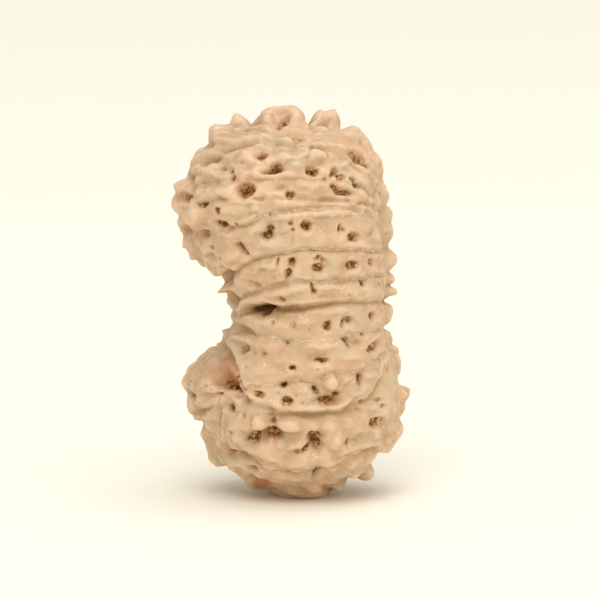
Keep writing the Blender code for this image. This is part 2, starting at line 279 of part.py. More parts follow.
PITS = (
    (-4.97, 22.17, 0.29, 0.29, 0, 0.4), (-0.57, 23.57, 0.45, 0.83, 0, 0.8),
    (0.45, 22.48, 0.51, 0.29, 0, 0.3), (1.91, 23.25, 0.32, 0.89, -20, 0.8),
    (4.14, 21.46, 0.7, 0.45, -40, 0.36), (3.82, 21.72, 0.19, 0.19, 0, 0.22),
    (4.39, 21.21, 0.25, 0.19, -30, 0.3), (4.78, 20.89, 0.25, 0.22, -50, 0.34),
    (-1.97, 21.53, 0.35, 0.32, 20, 0.5), (-1.34, 20.51, 0.7, 0.22, 10, 0.5),
    (-1.02, 20.83, 0.38, 0.35, 0, 0.5), (1.08, 20.57, 0.32, 0.35, 0, 0.5),
    (1.46, 20.51, 0.19, 0.25, 0, 0.4), (2.68, 20.45, 0.22, 0.32, -50, 0.4),
    (3.06, 20.19, 0.32, 0.25, -20, 0.5), (3.76, 19.94, 0.25, 0.14, -35, 0.34),
    (4.08, 19.68, 0.25, 0.17, -45, 0.4), (2.8, 19.49, 0.38, 0.17, -25, 0.3),
    (3.31, 19.11, 0.57, 0.17, -8, 0.45), (4.97, 19.55, 0.15, 0.38, 14, 0.4),
    (5.22, 18.73, 0.14, 0.57, 6, 0.4), (-2.99, 19.43, 0.51, 0.54, 0, 0.85),
    (-0.06, 19.04, 0.29, 0.29, 0, 0.5), (-4.33, 20.7, 0.25, 0.19, 0, 0.22),
    (-3.63, 20.51, 0.17, 0.17, 0, 0.34), (-3.57, 20.13, 0.13, 0.19, 0, 0.34),
    (-6.69, 18.92, 0.45, 0.25, 8, 0.5), (-5.29, 18.47, 0.32, 0.19, 25, 0.42),
    (-4.65, 18.03, 0.19, 0.23, 0, 0.3), (-4.27, 17.2, 0.39, 0.2, -12, 0.5),
    (-1.4, 16.88, 0.22, 0.32, -20, 0.45), (-1.66, 16.43, 0.38, 0.25, 15, 0.5),
    (-0.06, 17.26, 0.15, 0.15, 0, 0.26), (0, 16.75, 0.11, 0.11, 0, 0.2), (0.89, 17.13, 0.38, 0.32, 0, 0.5),
    (2.93, 17.01, 0.11, 0.32, -20, 0.3), (3.12, 16.82, 0.17, 0.17, 0, 0.3),
    (3.82, 16.43, 0.38, 0.32, 0, 0.5), (-3.31, 15.8, 0.25, 0.19, -40, 0.34),
    (-2.99, 15.41, 0.32, 0.17, -40, 0.4), (0.06, 14.78, 0.23, 0.32, -20, 0.42),
    (-0.25, 14.08, 0.18, 0.38, -28, 0.4), (1.59, 15.03, 0.25, 0.15, 20, 0.3),
    (1.97, 14.84, 0.15, 0.19, 0, 0.3), (1.66, 14.46, 0.38, 0.28, 0, 0.42),
    (3.76, 14.59, 0.38, 0.29, 0, 0.42), (5.03, 14.78, 0.17, 0.25, 0, 0.3),
    (-0.89, 14.78, 0.13, 0.25, 0, 0.2), (-3.76, 13.57, 0.19, 0.13, 0, 0.3),
    (-2.23, 13.44, 0.32, 0.16, -10, 0.2), (1.21, 13.25, 0.17, 0.25, -15, 0.28),
    (1.34, 12.93, 0.19, 0.19, 0, 0.32), (4.39, 13.44, 0.2, 0.2, 0, 0.34), (5.48, 13.25, 0.1, 0.25, 0, 0.26),
    (5.73, 13.31, 0.11, 0.45, 8, 0.34), (-0.57, 12.48, 0.19, 0.13, -15, 0.26),
    (-3.57, 11.66, 0.29, 0.25, -15, 0.55), (2.17, 10.89, 0.32, 0.28, 0, 0.38),
    (3.25, 11.02, 0.14, 0.32, -10, 0.4), (3.63, 11.21, 0.25, 0.22, 0, 0.36),
    (5.1, 11.4, 0.22, 0.25, 0, 0.38), (0.06, 10.83, 0.19, 0.25, 0, 0.14),
    (-1.21, 10.96, 0.13, 0.13, 0, 0.18), (-0.38, 9.75, 0.19, 0.17, 0, 0.3),
    (-2.99, 9.36, 0.38, 0.27, 0, 0.55), (5.22, 9.43, 0.45, 0.2, 22, 0.55),
    (1.85, 8.6, 0.57, 0.19, -3, 0.42), (3.57, 9.68, 0.17, 0.34, 10, 0.34),
    (-1.72, 8.85, 0.19, 0.17, 0, 0.16), (0, 8.15, 0.19, 0.19, 0, 0.38), (-0.64, 7.07, 0.28, 0.24, 0, 0.46),
    (-4.39, 7.52, 0.96, 0.57, -45, 0.95), (-3.76, 7.83, 0.19, 0.32, -45, 0.36),
    (-3.57, 7.39, 0.17, 0.25, -30, 0.36), (-3.69, 6.82, 0.51, 0.14, -28, 0.34),
    (-2.1, 6.5, 0.38, 0.25, -10, 0.42), (-0.32, 6.05, 0.41, 0.32, 0, 0.46),
    (1.53, 6.75, 0.19, 0.32, 25, 0.34), (2.29, 6.11, 0.57, 0.32, 4, 0.36),
    (2.87, 6.56, 0.22, 0.22, 0, 0.34), (4.27, 7.45, 0.19, 0.38, -12, 0.42),
    (-6.24, 6.37, 0.34, 0.22, -25, 0.36), (-3.89, 5.48, 0.25, 0.25, -45, 0.45),
    (5.29, 4.78, 0.35, 0.38, 0, 0.46), (-2.55, 3.76, 0.25, 0.25, 25, 0.44),
    (-1.4, 3.89, 0.51, 0.35, 0, 0.5), (-1.27, 4.71, 0.23, 0.25, -30, 0.2), (1.4, 3.82, 0.45, 0.38, 0, 0.5),
    (1.53, 3.25, 0.38, 0.35, 0, 0.55), (0.64, 2.93, 0.57, 0.17, 12, 0.45), (3.5, 3.5, 0.13, 0.25, 0, 0.36),
    (-3.95, 3.06, 0.25, 0.38, -32, 0.55), (1.59, 1.46, 0.19, 0.32, -20, 0.4),
    (2.99, 1.34, 0.1, 0.1, 0, 0.2), (-6.43, 16.82, 0.25, 0.32, 0, 0.24),
    (-5.61, 16.56, 0.29, 0.25, 35, 0.3), (-5.03, 15.67, 0.11, 0.14, 0, 0.3),
    (5.48, 6.11, 0.15, 0.11, 0, 0.26), (5.61, 5.73, 0.15, 0.15, 0, 0.2), (6.88, 6.88, 0.11, 0.19, 0, 0.34),
    (7.01, 6.37, 0.1, 0.32, 5, 0.3), (6.82, 7.2, 0.09, 0.25, 0, 0.3), (4.52, 10.25, 0.11, 0.1, 0, 0.26),
    (-2.42, 1.78, 0.19, 0.13, -20, 0.24), (-3.5, 17.13, 0.11, 0.1, 30, 0.26),
    (-1.46, 17.77, 0.1, 0.13, 0, 0.16), (4.46, 6.05, 0.13, 0.09, 0, 0.2), (1.15, 21.97, 0.11, 0.1, 0, 0.22),
    (-3.63, 4.2, 0.11, 0.1, 0, 0.2), (-6.05, 20.83, 0.1, 0.1, 0, 0.16), (-2.99, 5.16, 0.1, 0.14, 0, 0.2),
    (-2.87, 22.74, 0.11, 0.14, 0, 0.3), (-4.78, 6.5, 0.13, 0.09, 0, 0.24),
    (3.44, 9.94, 0.25, 0.11, 0, 0.26), (-4.46, 15.1, 0.1, 0.13, 0, 0.2), (4.2, 5.48, 0.13, 0.13, 0, 0.12),
    (-5.54, 5.22, 0.19, 0.19, 0, 0.1), (2.04, 20, 0.13, 0.1, 0, 0.18), (5.41, 7.96, 0.1, 0.19, 0, 0.2),
    (6.18, 9.94, 0.13, 0.13, 0, 0.16),
)

# Sign of the relief, crispness of the wall, share by which the lower wall is the steeper one, and whether
# the spot is measured along the outline.
KNOB = (1.0, 1.4, 0.35, False)
RIM_KNOB = (1.0, 1.8, 0.0, True)
FIRM_KNOB = (1.0, 3.0, 0.3, False)
HOLLOW = (-1.0, 1.1, 0.0, False)
NOTCH = (-1.0, 1.3, -0.5, True)
PIT = (-1.0, 2.0, -0.25, False)
PIT_RIM = 0.4

# Folds and soft lumps: height, size.
FOLDS = (0.22, 1.0)
LUMPS = (0.2, 2.3)
RIDGES = (0.16, 1.5)

# Seeded spots where none is measured: number, half widths, heights or depths, kind, closest spacing.
REAR_SPOTS = (
    (210, (0.5, 1.0), (0.16, 0.38), KNOB, 1.15),
    (60, (0.3, 0.6), (0.12, 0.25), HOLLOW, 1.0),
    (170, (0.16, 0.36), (0.3, 0.5), PIT, 1.1),
)
FRONT_SPOTS = (90, (0.3, 0.6), (0.04, 0.1), KNOB, 0.8)

# The spot that the stone rests on: centre and half sizes in plan.
REST = (0.38, -0.1, 2.1, 2.05)

BEAD_COLOUR = (0.60, 0.40, 0.23, 1.0)
BEAD_ROUGHNESS = 0.62


def smoothstep(low, high, value):
    share = np.clip((value - low) / (high - low), 0.0, 1.0)
    return share * share * (3.0 - 2.0 * share)


def lumps(points, length, shift):
    """A smooth random field in space, about one high and low."""
    move = Vector((shift, 2.7 * shift, -1.3 * shift))
    return np.array([noise.fractal(Vector(point) / length + move, 1.0, 2.0, 1) for point in points])


def drift(points, length, shift):
    """Smooth random offsets in space, one vector a point."""
    move = Vector((shift, -shift, 3.1 * shift))
    return np.array([noise.noise_vector(Vector(point) / length + move) for point in points])


def folds(points, spacing, shift):
    """Soft folds that lie over one another: 1 above each crisp lower edge, falling to 0 at the next."""
    warp = 0.9 * lumps(points, 2.4, shift) + 0.35 * lumps(points, 0.8, shift + 3.0)
    share = (points[:, 2] / spacing + warp) % 1.0
    return (1.0 - share) * smoothstep(0.0, 0.14, share)


def profile_table():
    """Rounded profile by arc length: columns are height, middle x, half width, half depth."""
    rows = np.array(PROFILE)
    left, right = rows[:, 1], rows[:, 2]
    table = np.column_stack((rows[:, 0], (left + right) / 2, (right - left) / 2, rows[:, 3]))
    girth = (table[:, 2] + table[:, 3]) / 2
    steps = np.hypot(np.diff(table[:, 0]), np.diff(girth))
    arc = np.concatenate(([0.0], np.cumsum(steps)))
    fine = np.linspace(0.0, arc[-1], 1200)
    dense = np.column_stack([np.interp(fine, arc, column) for column in table.T])
    spacing = fine[1]
    reach = int(4 * PROFILE_ROUNDING / spacing)
    kernel = np.exp(-0.5 * (np.arange(-reach, reach + 1) * spacing / PROFILE_ROUNDING) ** 2)
    kernel /= kernel.sum()
    signs = np.array([1.0, 1.0, -1.0, -1.0])
    before = dense[reach:0:-1] * signs
    after = dense[-2:-reach - 2:-1] * signs
    padded = np.vstack((before, dense, after))
    rounded = np.column_stack([np.convolve(column, kernel, "valid") for column in padded.T])
    return fine, rounded


def stone_points(directions):
    """Places unit sphere directions on the smooth stone."""
    arc, table = profile_table()
    latitude = np.arccos(np.clip(directions[:, 2], -1.0, 1.0))
    place = latitude / math.pi * arc[-1]
    height, middle, half_width, half_depth = (np.interp(place, arc, column) for column in table.T)
    turn = np.arctan2(directions[:, 1], directions[:, 0])
    return np.column_stack((middle + half_width * np.cos(turn), half_depth * np.sin(turn), height))


def pole_frame(points):
    """Coordinates about the pole lines: behind, height over the upper and over the lower ruling."""
    inner = np.array(INNER_POLE[:2])
    span = np.array(OUTER_POLE[:2]) - inner
    length = np.hypot(*span)
    along_axis = span / length
    offset = points[:, :2] - inner
    along = offset @ along_axis / length
    behind = offset @ np.array([-along_axis[1], along_axis[0]])
    upper = INNER_POLE[3] + (OUTER_POLE[3] - INNER_POLE[3]) * along
    lower = INNER_POLE[2] + (OUTER_POLE[2] - INNER_POLE[2]) * along
    tilt = math.cos(math.atan((OUTER_POLE[3] - INNER_POLE[3]) / length))
    return behind, (points[:, 2] - upper) * tilt, points[:, 2] - lower


def line_places():
    """Positions of the nineteen lines along the girth."""
    cap = math.radians(1.0) * CAP_RADIUS
    front = [-angle * cap for angle in UPPER_ANGLES]
    front += [share * WAIST for share in WAIST_SHARES]
    front += [WAIST + angle * cap for angle in LOWER_ANGLES]
    rear = [WAIST + angle * cap for angle in reversed(REAR_LOWER_ANGLES)]
    rear += [WAIST + 180.0 * cap + share * WAIST for share in REAR_WAIST_SHARES]
    rear += [2 * WAIST + (360.0 - angle) * cap for angle in reversed(REAR_UPPER_ANGLES)]
    return np.array(front + rear)


def girth_coordinate(points):
    """Coordinate round the girth in which every mukhi line has one value, and its local stretch."""
    behind, over, under = pole_frame(points)
    cap = CAP_RADIUS
    total = 2 * WAIST + 2 * math.pi * cap
    upper_angle = np.arctan2(over, -behind)
    lower_angle = np.arctan2(-under, -behind)
    share = np.clip(over / np.minimum(over - under, -1e-3), 0.0, 1.0)
    waist = np.where(behind < 0, share * WAIST, WAIST + math.pi * cap + (1 - share) * WAIST)
    place = np.where(over > 0, -upper_angle * cap, np.where(under < 0, WAIST + lower_angle * cap, waist))
    radius = np.where(over > 0, np.hypot(over, behind), np.hypot(under, behind)) / cap
    stretch = np.where((over > 0) | (under < 0), radius, (under - over) / WAIST)
    return place, np.maximum(stretch, 0.02), total


def traced_coordinate(x, sight, places):
    """The girth coordinate read from the measured front lines, and its local stretch."""
    heights = []
    for depth, ledge, values in MUKHI_LINES:
        pairs = np.array(values).reshape(-1, 2)
        heights.append(np.interp(x, pairs[:, 0], pairs[:, 1]))
    heights = np.minimum.accumulate(np.array(heights) - 0.02 * np.arange(len(heights))[:, None], axis=0)
    place = places[0] - (sight - heights[0]) * 1.25
    stretch = np.full_like(x, 0.8)
    for index in range(len(heights) - 1):
        gap = np.maximum(heights[index] - heights[index + 1], 0.05)
        share = (heights[index] - sight) / gap
        width = places[index + 1] - places[index]
        inside = (share >= 0) & (share < 1)
        place = np.where(inside, places[index] + share * width, place)
        stretch = np.where(inside, gap / width, stretch)
    below = sight < heights[-1]
    place = np.where(below, places[len(heights) - 1] + (heights[-1] - sight) * 1.6, place)
    stretch = np.where(below, 0.7, stretch)
    return place, stretch


def line_gap(x, sight, values):
    """Distance to a measured line, and 1 above or left of it and -1 on its other side."""
    knots = np.array(values).reshape(-1, 2)
    best = np.full(len(x), 99.0)
    side = np.ones(len(x))
    for start, end in zip(knots[:-1], knots[1:]):
        run = end - start
        right, up = x - start[0], sight - start[1]
        share = np.clip((right * run[0] + up * run[1]) / (run @ run), 0.0, 1.0)
        gap = np.hypot(right - share * run[0], up - share * run[1])
        closer = gap < best
        best = np.where(closer, gap, best)
        side = np.where(closer, np.sign(run[0] * up - run[1] * right + 1e-9), side)
    return best, side


def ledge_and_groove(gap, side, ledge, depth, half_width):
    """A groove with the surface on its upper side standing proud."""
    step = side * (1 - np.exp(-gap / 0.07)) * np.exp(-(gap / LEDGE_REACH) ** 2)
    return 0.5 * ledge * step - depth * np.exp(-(gap / half_width) ** 2)


def add_spot(relief, points, wander, centre, normal, row, kind):
    """Adds one knob, hollow or pit, an oval in the tangent plane at its centre."""
    half_length, half_width, turn, size = row
    sign, crispness, lip, on_rim = kind
    reach = max(half_length, half_width)
    near = np.where(np.abs(points - centre).max(axis=1) < 2.8 * reach)[0]
    offset = points[near] - centre + 0.75 * wander[near]
    side = np.cross(TOWARDS_EYE if on_rim else [0.0, 0.0, 1.0], normal)
    side /= max(np.linalg.norm(side), 1e-6)
    rise = np.cross(normal, side)
    across = offset @ (math.cos(turn) * side + math.sin(turn) * rise) / half_length
    upward = offset @ (math.cos(turn) * rise - math.sin(turn) * side) / half_width
    upward /= np.where(upward < 0, 1.0 - lip, 1.0 + lip)
    flat = across ** 2 + upward ** 2
    deep = (offset @ normal / reach) ** 2
    relief[near] += sign * size * np.exp(-(flat + 0.35 * deep) ** crispness)
    if kind is PIT:
        relief[near] -= PIT_RIM * size * np.exp(-0.4 * (flat + deep))


def scatter(relief, points, normals, wander, taken, spots, keep, seed):
    """Adds seeded spots of one kind, clear of each other and of the measured ones."""
    count, radius, size, kind, gap = spots
    rng = np.random.default_rng(SEED + seed)
    directions = rng.normal(size=(count * 30, 3))
    directions /= np.linalg.norm(directions, axis=1)[:, None]
    draws = rng.uniform(size=(count * 30, 4))
    placed = list(taken)
    for place, draw in zip(stone_points(directions), draws):
        if len(placed) >= count + len(taken):
            break
        if np.min(np.linalg.norm(np.array(placed) - place, axis=1)) < gap:
            continue
        at = int(np.argmin(np.linalg.norm(points - place, axis=1)))
        if not keep[at]:
            continue
        placed.append(place)
        half_width = radius[0] + (radius[1] - radius[0]) * draw[0]
        height = size[0] + (size[1] - size[0]) * draw[3]
        row = (half_width * (1.0 + 0.5 * draw[1]), half_width, draw[2] - 0.5, height)
        add_spot(relief, points, wander, place, normals[at], row, kind)


def stone_relief(points, normals):
    """Relief along the normal for points on the smooth stone."""
    facing = normals @ TOWARDS_EYE
    behind, over, under = pole_frame(points)
    in_waist = (over < 0) & (under > 0)
    pole_gap = np.where(in_waist, np.abs(behind), np.hypot(behind, np.where(over > 0, over, under)))
    front = smoothstep(0.05, 0.35, facing) * smoothstep(0.2, 1.3, -behind)
    coarse_drift, fine_drift = drift(points, 0.9, 3.0), drift(points, 0.35, 8.0)
    wander = 0.14 * coarse_drift + 0.1 * fine_drift
    drop = GROUND_DROP + TOP_DROP * smoothstep(23.0, 25.0, points[:, 2])
    ground = points - normals * drop[:, None]
    moved = ground + 0.1 * coarse_drift + 0.03 * fine_drift
    x, sight = moved[:, 0], moved @ SIGHT_UP

    relief = -drop
    relief += LUMPS[0] * lumps(points, LUMPS[1], 1.0)
    relief += RIDGES[0] * (np.abs(lumps(points, RIDGES[1], 5.0)) - 0.2)
    on_lobes = 1.0 - 0.5 * smoothstep(-0.5, 0.5, -over) * smoothstep(-0.5, 0.5, under)
    strength = smoothstep(-0.1, 0.5, lumps(points, 1.7, 31.0)) * on_lobes
    relief += FOLDS[0] * strength * (folds(points, FOLDS[1], 21.0) - 0.5)

    places = line_places()
    place, stretch, total = girth_coordinate(points)
    traced, traced_stretch = traced_coordinate(x, sight, places)
    place = np.where(place > total - 0.5 * math.pi * CAP_RADIUS, place - total, place) + 2.2 * wander[:, 2]
    place = place * (1 - front) + traced * front
    stretch = stretch * (1 - front) + traced_stretch * front
    order = np.concatenate((places - total, places, places + total))
    which = np.clip(np.searchsorted(order, place), 1, len(order) - 1)
    above, below = order[which - 1], order[which]
    share = (place - above) / (below - above)
    first = np.abs(place - above) * stretch
    second = np.abs(below - place) * stretch
    swell = (BAND_SWELL * front + REAR_BAND_SWELL * (1 - front)) * (1 - np.abs(2 * share - 1) ** 2.4)
    groove = np.exp(-(first / LINE_HALF_WIDTH) ** 2) + np.exp(-(second / LINE_HALF_WIDTH) ** 2)
    unseen = 1 - smoothstep(0.0, 0.3, facing)
    relief += swell * smoothstep(0.05, 1.3, pole_gap)
    relief -= REAR_LINE_DEPTH * groove * (1 - front) * smoothstep(0.5, 3.2, pole_gap) * unseen
    relief -= 0.1 * np.exp(-(pole_gap / 0.6) ** 2) * (over < 0.6) * (under > -0.6)

    for index, (depth, ledge, values) in enumerate(MUKHI_LINES):
        gap, side = line_gap(x, sight, values)
        if index == CRACK_LINE:
            crack = np.array(CRACK_DEPTH)
            open_depth = np.interp(x, crack[:, 0], crack[:, 1])
            relief -= open_depth * front * np.exp(-(gap / CRACK_HALF_WIDTH) ** 3)
        relief += ledge_and_groove(gap, side, ledge, depth + LINE_EXTRA_DEPTH, LINE_HALF_WIDTH) * front
    for depth, half_width, ledge, values in CREASES:
        gap, side = line_gap(x, sight, values)
        relief += ledge_and_groove(gap, side, ledge, depth, half_width) * smoothstep(-0.4, -0.1, facing)

    visible = np.where(facing > -0.25)[0]
    still_x, still_sight = ground[visible, 0], ground[visible] @ SIGHT_UP
    measured = []
    kinds = (
        (KNOBS, KNOB), (RIM_KNOBS, RIM_KNOB), (FIRM_KNOBS, FIRM_KNOB),
        (HOLLOWS, HOLLOW), (NOTCHES, NOTCH), (PITS, PIT),
    )
    for rows, kind in kinds:
        for px, pv, half_length, half_width, turn, size in rows:
            miss = (still_x - px) ** 2 + (still_sight - pv) ** 2 - 0.02 * facing[visible]
            at = visible[np.argmin(miss)]
            measured.append(points[at])
            row = (half_length, half_width, math.radians(turn), size)
            add_spot(relief, points, wander, points[at], normals[at], row, kind)

    rear = (facing < 0.05) & (points[:, 2] > 0.9) & (pole_gap > 0.6)
    for seed, spots in enumerate(REAR_SPOTS, start=1):
        scatter(relief, points, normals, wander, measured, spots, rear, seed)
    lobes = (facing > 0.05) & (points[:, 2] > 1.5)
    scatter(relief, points, normals, wander, measured, FRONT_SPOTS, lobes, 4)

    spread = np.hypot((points[:, 0] - REST[0]) / REST[2], (points[:, 1] - REST[1]) / REST[3])
    return relief * np.where(points[:, 2] < 3.0, smoothstep(0.75, 1.6, spread), 1.0)


def build_bead():
    bm = bmesh.new()
    bmesh.ops.create_icosphere(bm, subdivisions=SPHERE_STEPS, radius=1.0)
    mesh = bpy.data.meshes.new("rudraksha_bead")
    bm.to_mesh(mesh)
    bm.free()
    flat = np.empty(len(mesh.vertices) * 3)
    mesh.vertices.foreach_get("co", flat)
    directions = flat.reshape(-1, 3)
    directions /= np.linalg.norm(directions, axis=1)[:, None]
    points = stone_points(directions)
    mesh.vertices.foreach_set("co", points.ravel())
    mesh.update()
    normals = np.empty(len(mesh.vertices) * 3, dtype=np.float32)
    mesh.vertex_normals.foreach_get("vector", normals)
    normals = normals.reshape(-1, 3).astype(float)
    points = points + normals * stone_relief(points, normals)[:, None]
    points[:, 2] = np.maximum(points[:, 2], 0.0)
    mesh.vertices.foreach_set("co", (points * MM).ravel())
    mesh.update()

    bead = bpy.data.objects.new("rudraksha_bead", mesh)
    bpy.context.scene.collection.objects.link(bead)
    thin = bead.modifiers.new("thin", "DECIMATE")
    thin.ratio = TRIANGLES / len(mesh.polygons)
    thin.use_collapse_triangulate = True
    bpy.context.view_layer.update()
    thinned = bpy.data.meshes.new_from_object(bead.evaluated_get(bpy.context.evaluated_depsgraph_get()))
    bead.modifiers.clear()
    bead.data = thinned
    bpy.data.meshes.remove(mesh)
    thinned.name = "rudraksha_bead"

    flat = np.empty(len(thinned.vertices) * 3)
    thinned.vertices.foreach_get("co", flat)
    points = flat.reshape(-1, 3)
    points[:, 2] = np.where(points[:, 2] < FLAT_SPOT * MM, 0.0, points[:, 2])
    points[:, :2] -= (points[:, :2].min(axis=0) + points[:, :2].max(axis=0)) / 2
    thinned.vertices.foreach_set("co", points.ravel())
    thinned.update()

    material = bpy.data.materials.new("rudraksha_stone")
    material.use_nodes = True
    shader = material.node_tree.nodes["Principled BSDF"]
    shader.inputs["Base Color"].default_value = BEAD_COLOUR
    shader.inputs["Roughness"].default_value = BEAD_ROUGHNESS
    thinned.materials.clear()
    thinned.materials.append(material)
    return bead


for stale in list(bpy.data.objects):
    bpy.data.objects.remove(stale, do_unlink=True)
build_bead()
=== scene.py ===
"""Nineteen mukhi rudraksha: the sculpted stone, its finish and the studio it stands in.

The stone is a finely divided sphere that is laid on a stack of rounded sections. Mukhi lines, sheets,
knobs, hollows and pits are raised or sunk along the surface normal. What shows from the front is placed by
measured points, and the sides and the back carry seeded relief of the same kinds.

Shape sizes are in millimetres: x runs from the notch side to the outer side, y to the back, z up.
"""
import logging
import math
from dataclasses import dataclass, field
from enum import Enum

import bmesh
import bpy
import numpy as np
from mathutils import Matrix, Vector, noise


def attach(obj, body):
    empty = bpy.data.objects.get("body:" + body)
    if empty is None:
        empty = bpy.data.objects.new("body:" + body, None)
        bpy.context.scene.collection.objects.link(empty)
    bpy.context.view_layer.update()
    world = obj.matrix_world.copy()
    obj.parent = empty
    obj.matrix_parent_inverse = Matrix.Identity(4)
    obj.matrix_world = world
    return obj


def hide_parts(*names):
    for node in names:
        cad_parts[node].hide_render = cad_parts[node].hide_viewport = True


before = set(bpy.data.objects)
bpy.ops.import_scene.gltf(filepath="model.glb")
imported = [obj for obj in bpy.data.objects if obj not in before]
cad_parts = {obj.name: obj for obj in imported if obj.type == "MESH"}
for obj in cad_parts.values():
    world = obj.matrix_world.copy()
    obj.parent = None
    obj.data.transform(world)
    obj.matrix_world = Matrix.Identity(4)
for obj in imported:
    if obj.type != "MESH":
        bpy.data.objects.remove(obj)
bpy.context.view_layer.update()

MM = 0.001
SEED = 1908
LOG = logging.getLogger("rudraksha")

# Without this the vector noise of drift would start from the clock and differ from run to run.
noise.seed_set(SEED)

Colour = tuple[float, float, float]
Socket = bpy.types.NodeSocket

# The line of sight along which the front features are measured: raised this much above level.
SIGHT_TILT = math.radians(8.0)
SIGHT_UP = np.array([0.0, math.sin(SIGHT_TILT), math.cos(SIGHT_TILT)])
TOWARDS_EYE = np.array([0.0, -math.cos(SIGHT_TILT), math.sin(SIGHT_TILT)])

# Distance that stands for no line nearby. The relief of a line reaches less far.
FAR = 9.0

# Where the eye grazes the surface, a measured spot grows by no more than one over this share.
LEAST_SHARE = 0.5

# Colour of the lamps and of the light that comes from all round.
WHITE: Colour = (1.0, 0.985, 0.95)

# Outline of the smooth stone: height, x on the notch side, x on the outer side, half depth.
PROFILE = (
    (25.05, -0.3, -0.3, 0.0),
    (24.95, -1.3, 0.8, 1.0),
    (24.65, -2.2, 2.0, 2.0),
    (24.25, -3.1, 2.9, 2.9),
    (23.75, -4.0, 3.75, 3.7),
    (23.2, -4.8, 4.4, 4.35),
    (22.6, -5.4, 5.0, 4.9),
    (21.8, -6.05, 5.5, 5.5),
    (20.85, -6.8, 5.75, 6.0),
    (19.9, -7.2, 5.85, 6.35),
    (18.9, -7.42, 5.95, 6.6),
    (18.1, -7.37, 6.1, 6.75),
    (17.3, -7.2, 6.25, 6.8),
    (16.35, -6.85, 6.3, 6.8),
    (15.55, -6.5, 6.4, 6.75),
    (14.95, -5.9, 6.5, 6.7),
    (14.4, -5.2, 6.5, 6.65),
    (13.95, -4.55, 6.5, 6.6),
    (13.1, -4.1, 6.45, 6.55),
    (12.3, -4.02, 6.4, 6.5),
    (11.45, -4.0, 6.35, 6.5),
    (10.7, -4.12, 6.35, 6.6),
    (10.05, -4.4, 6.45, 6.7),
    (9.5, -5.0, 6.6, 6.8),
    (8.9, -5.9, 6.85, 6.9),
    (8.1, -6.6, 7.0, 7.0),
    (7.35, -6.9, 7.1, 7.05),
    (6.4, -6.8, 7.2, 7.05),
    (5.4, -6.45, 7.15, 6.95),
    (4.45, -5.9, 6.95, 6.7),
    (3.45, -5.45, 6.55, 6.3),
    (2.7, -5.1, 6.1, 5.8),
    (2.0, -4.8, 5.5, 5.15),
    (1.4, -4.2, 4.95, 4.45),
    (0.85, -3.15, 4.05, 3.6),
    (0.3, -2.3, 3.1, 2.7),
    (0.0, -1.75, 2.5, 2.1),
    (-0.3, -0.9, 1.6, 1.2),
    (-0.45, 0.35, 0.35, 0.0),
)

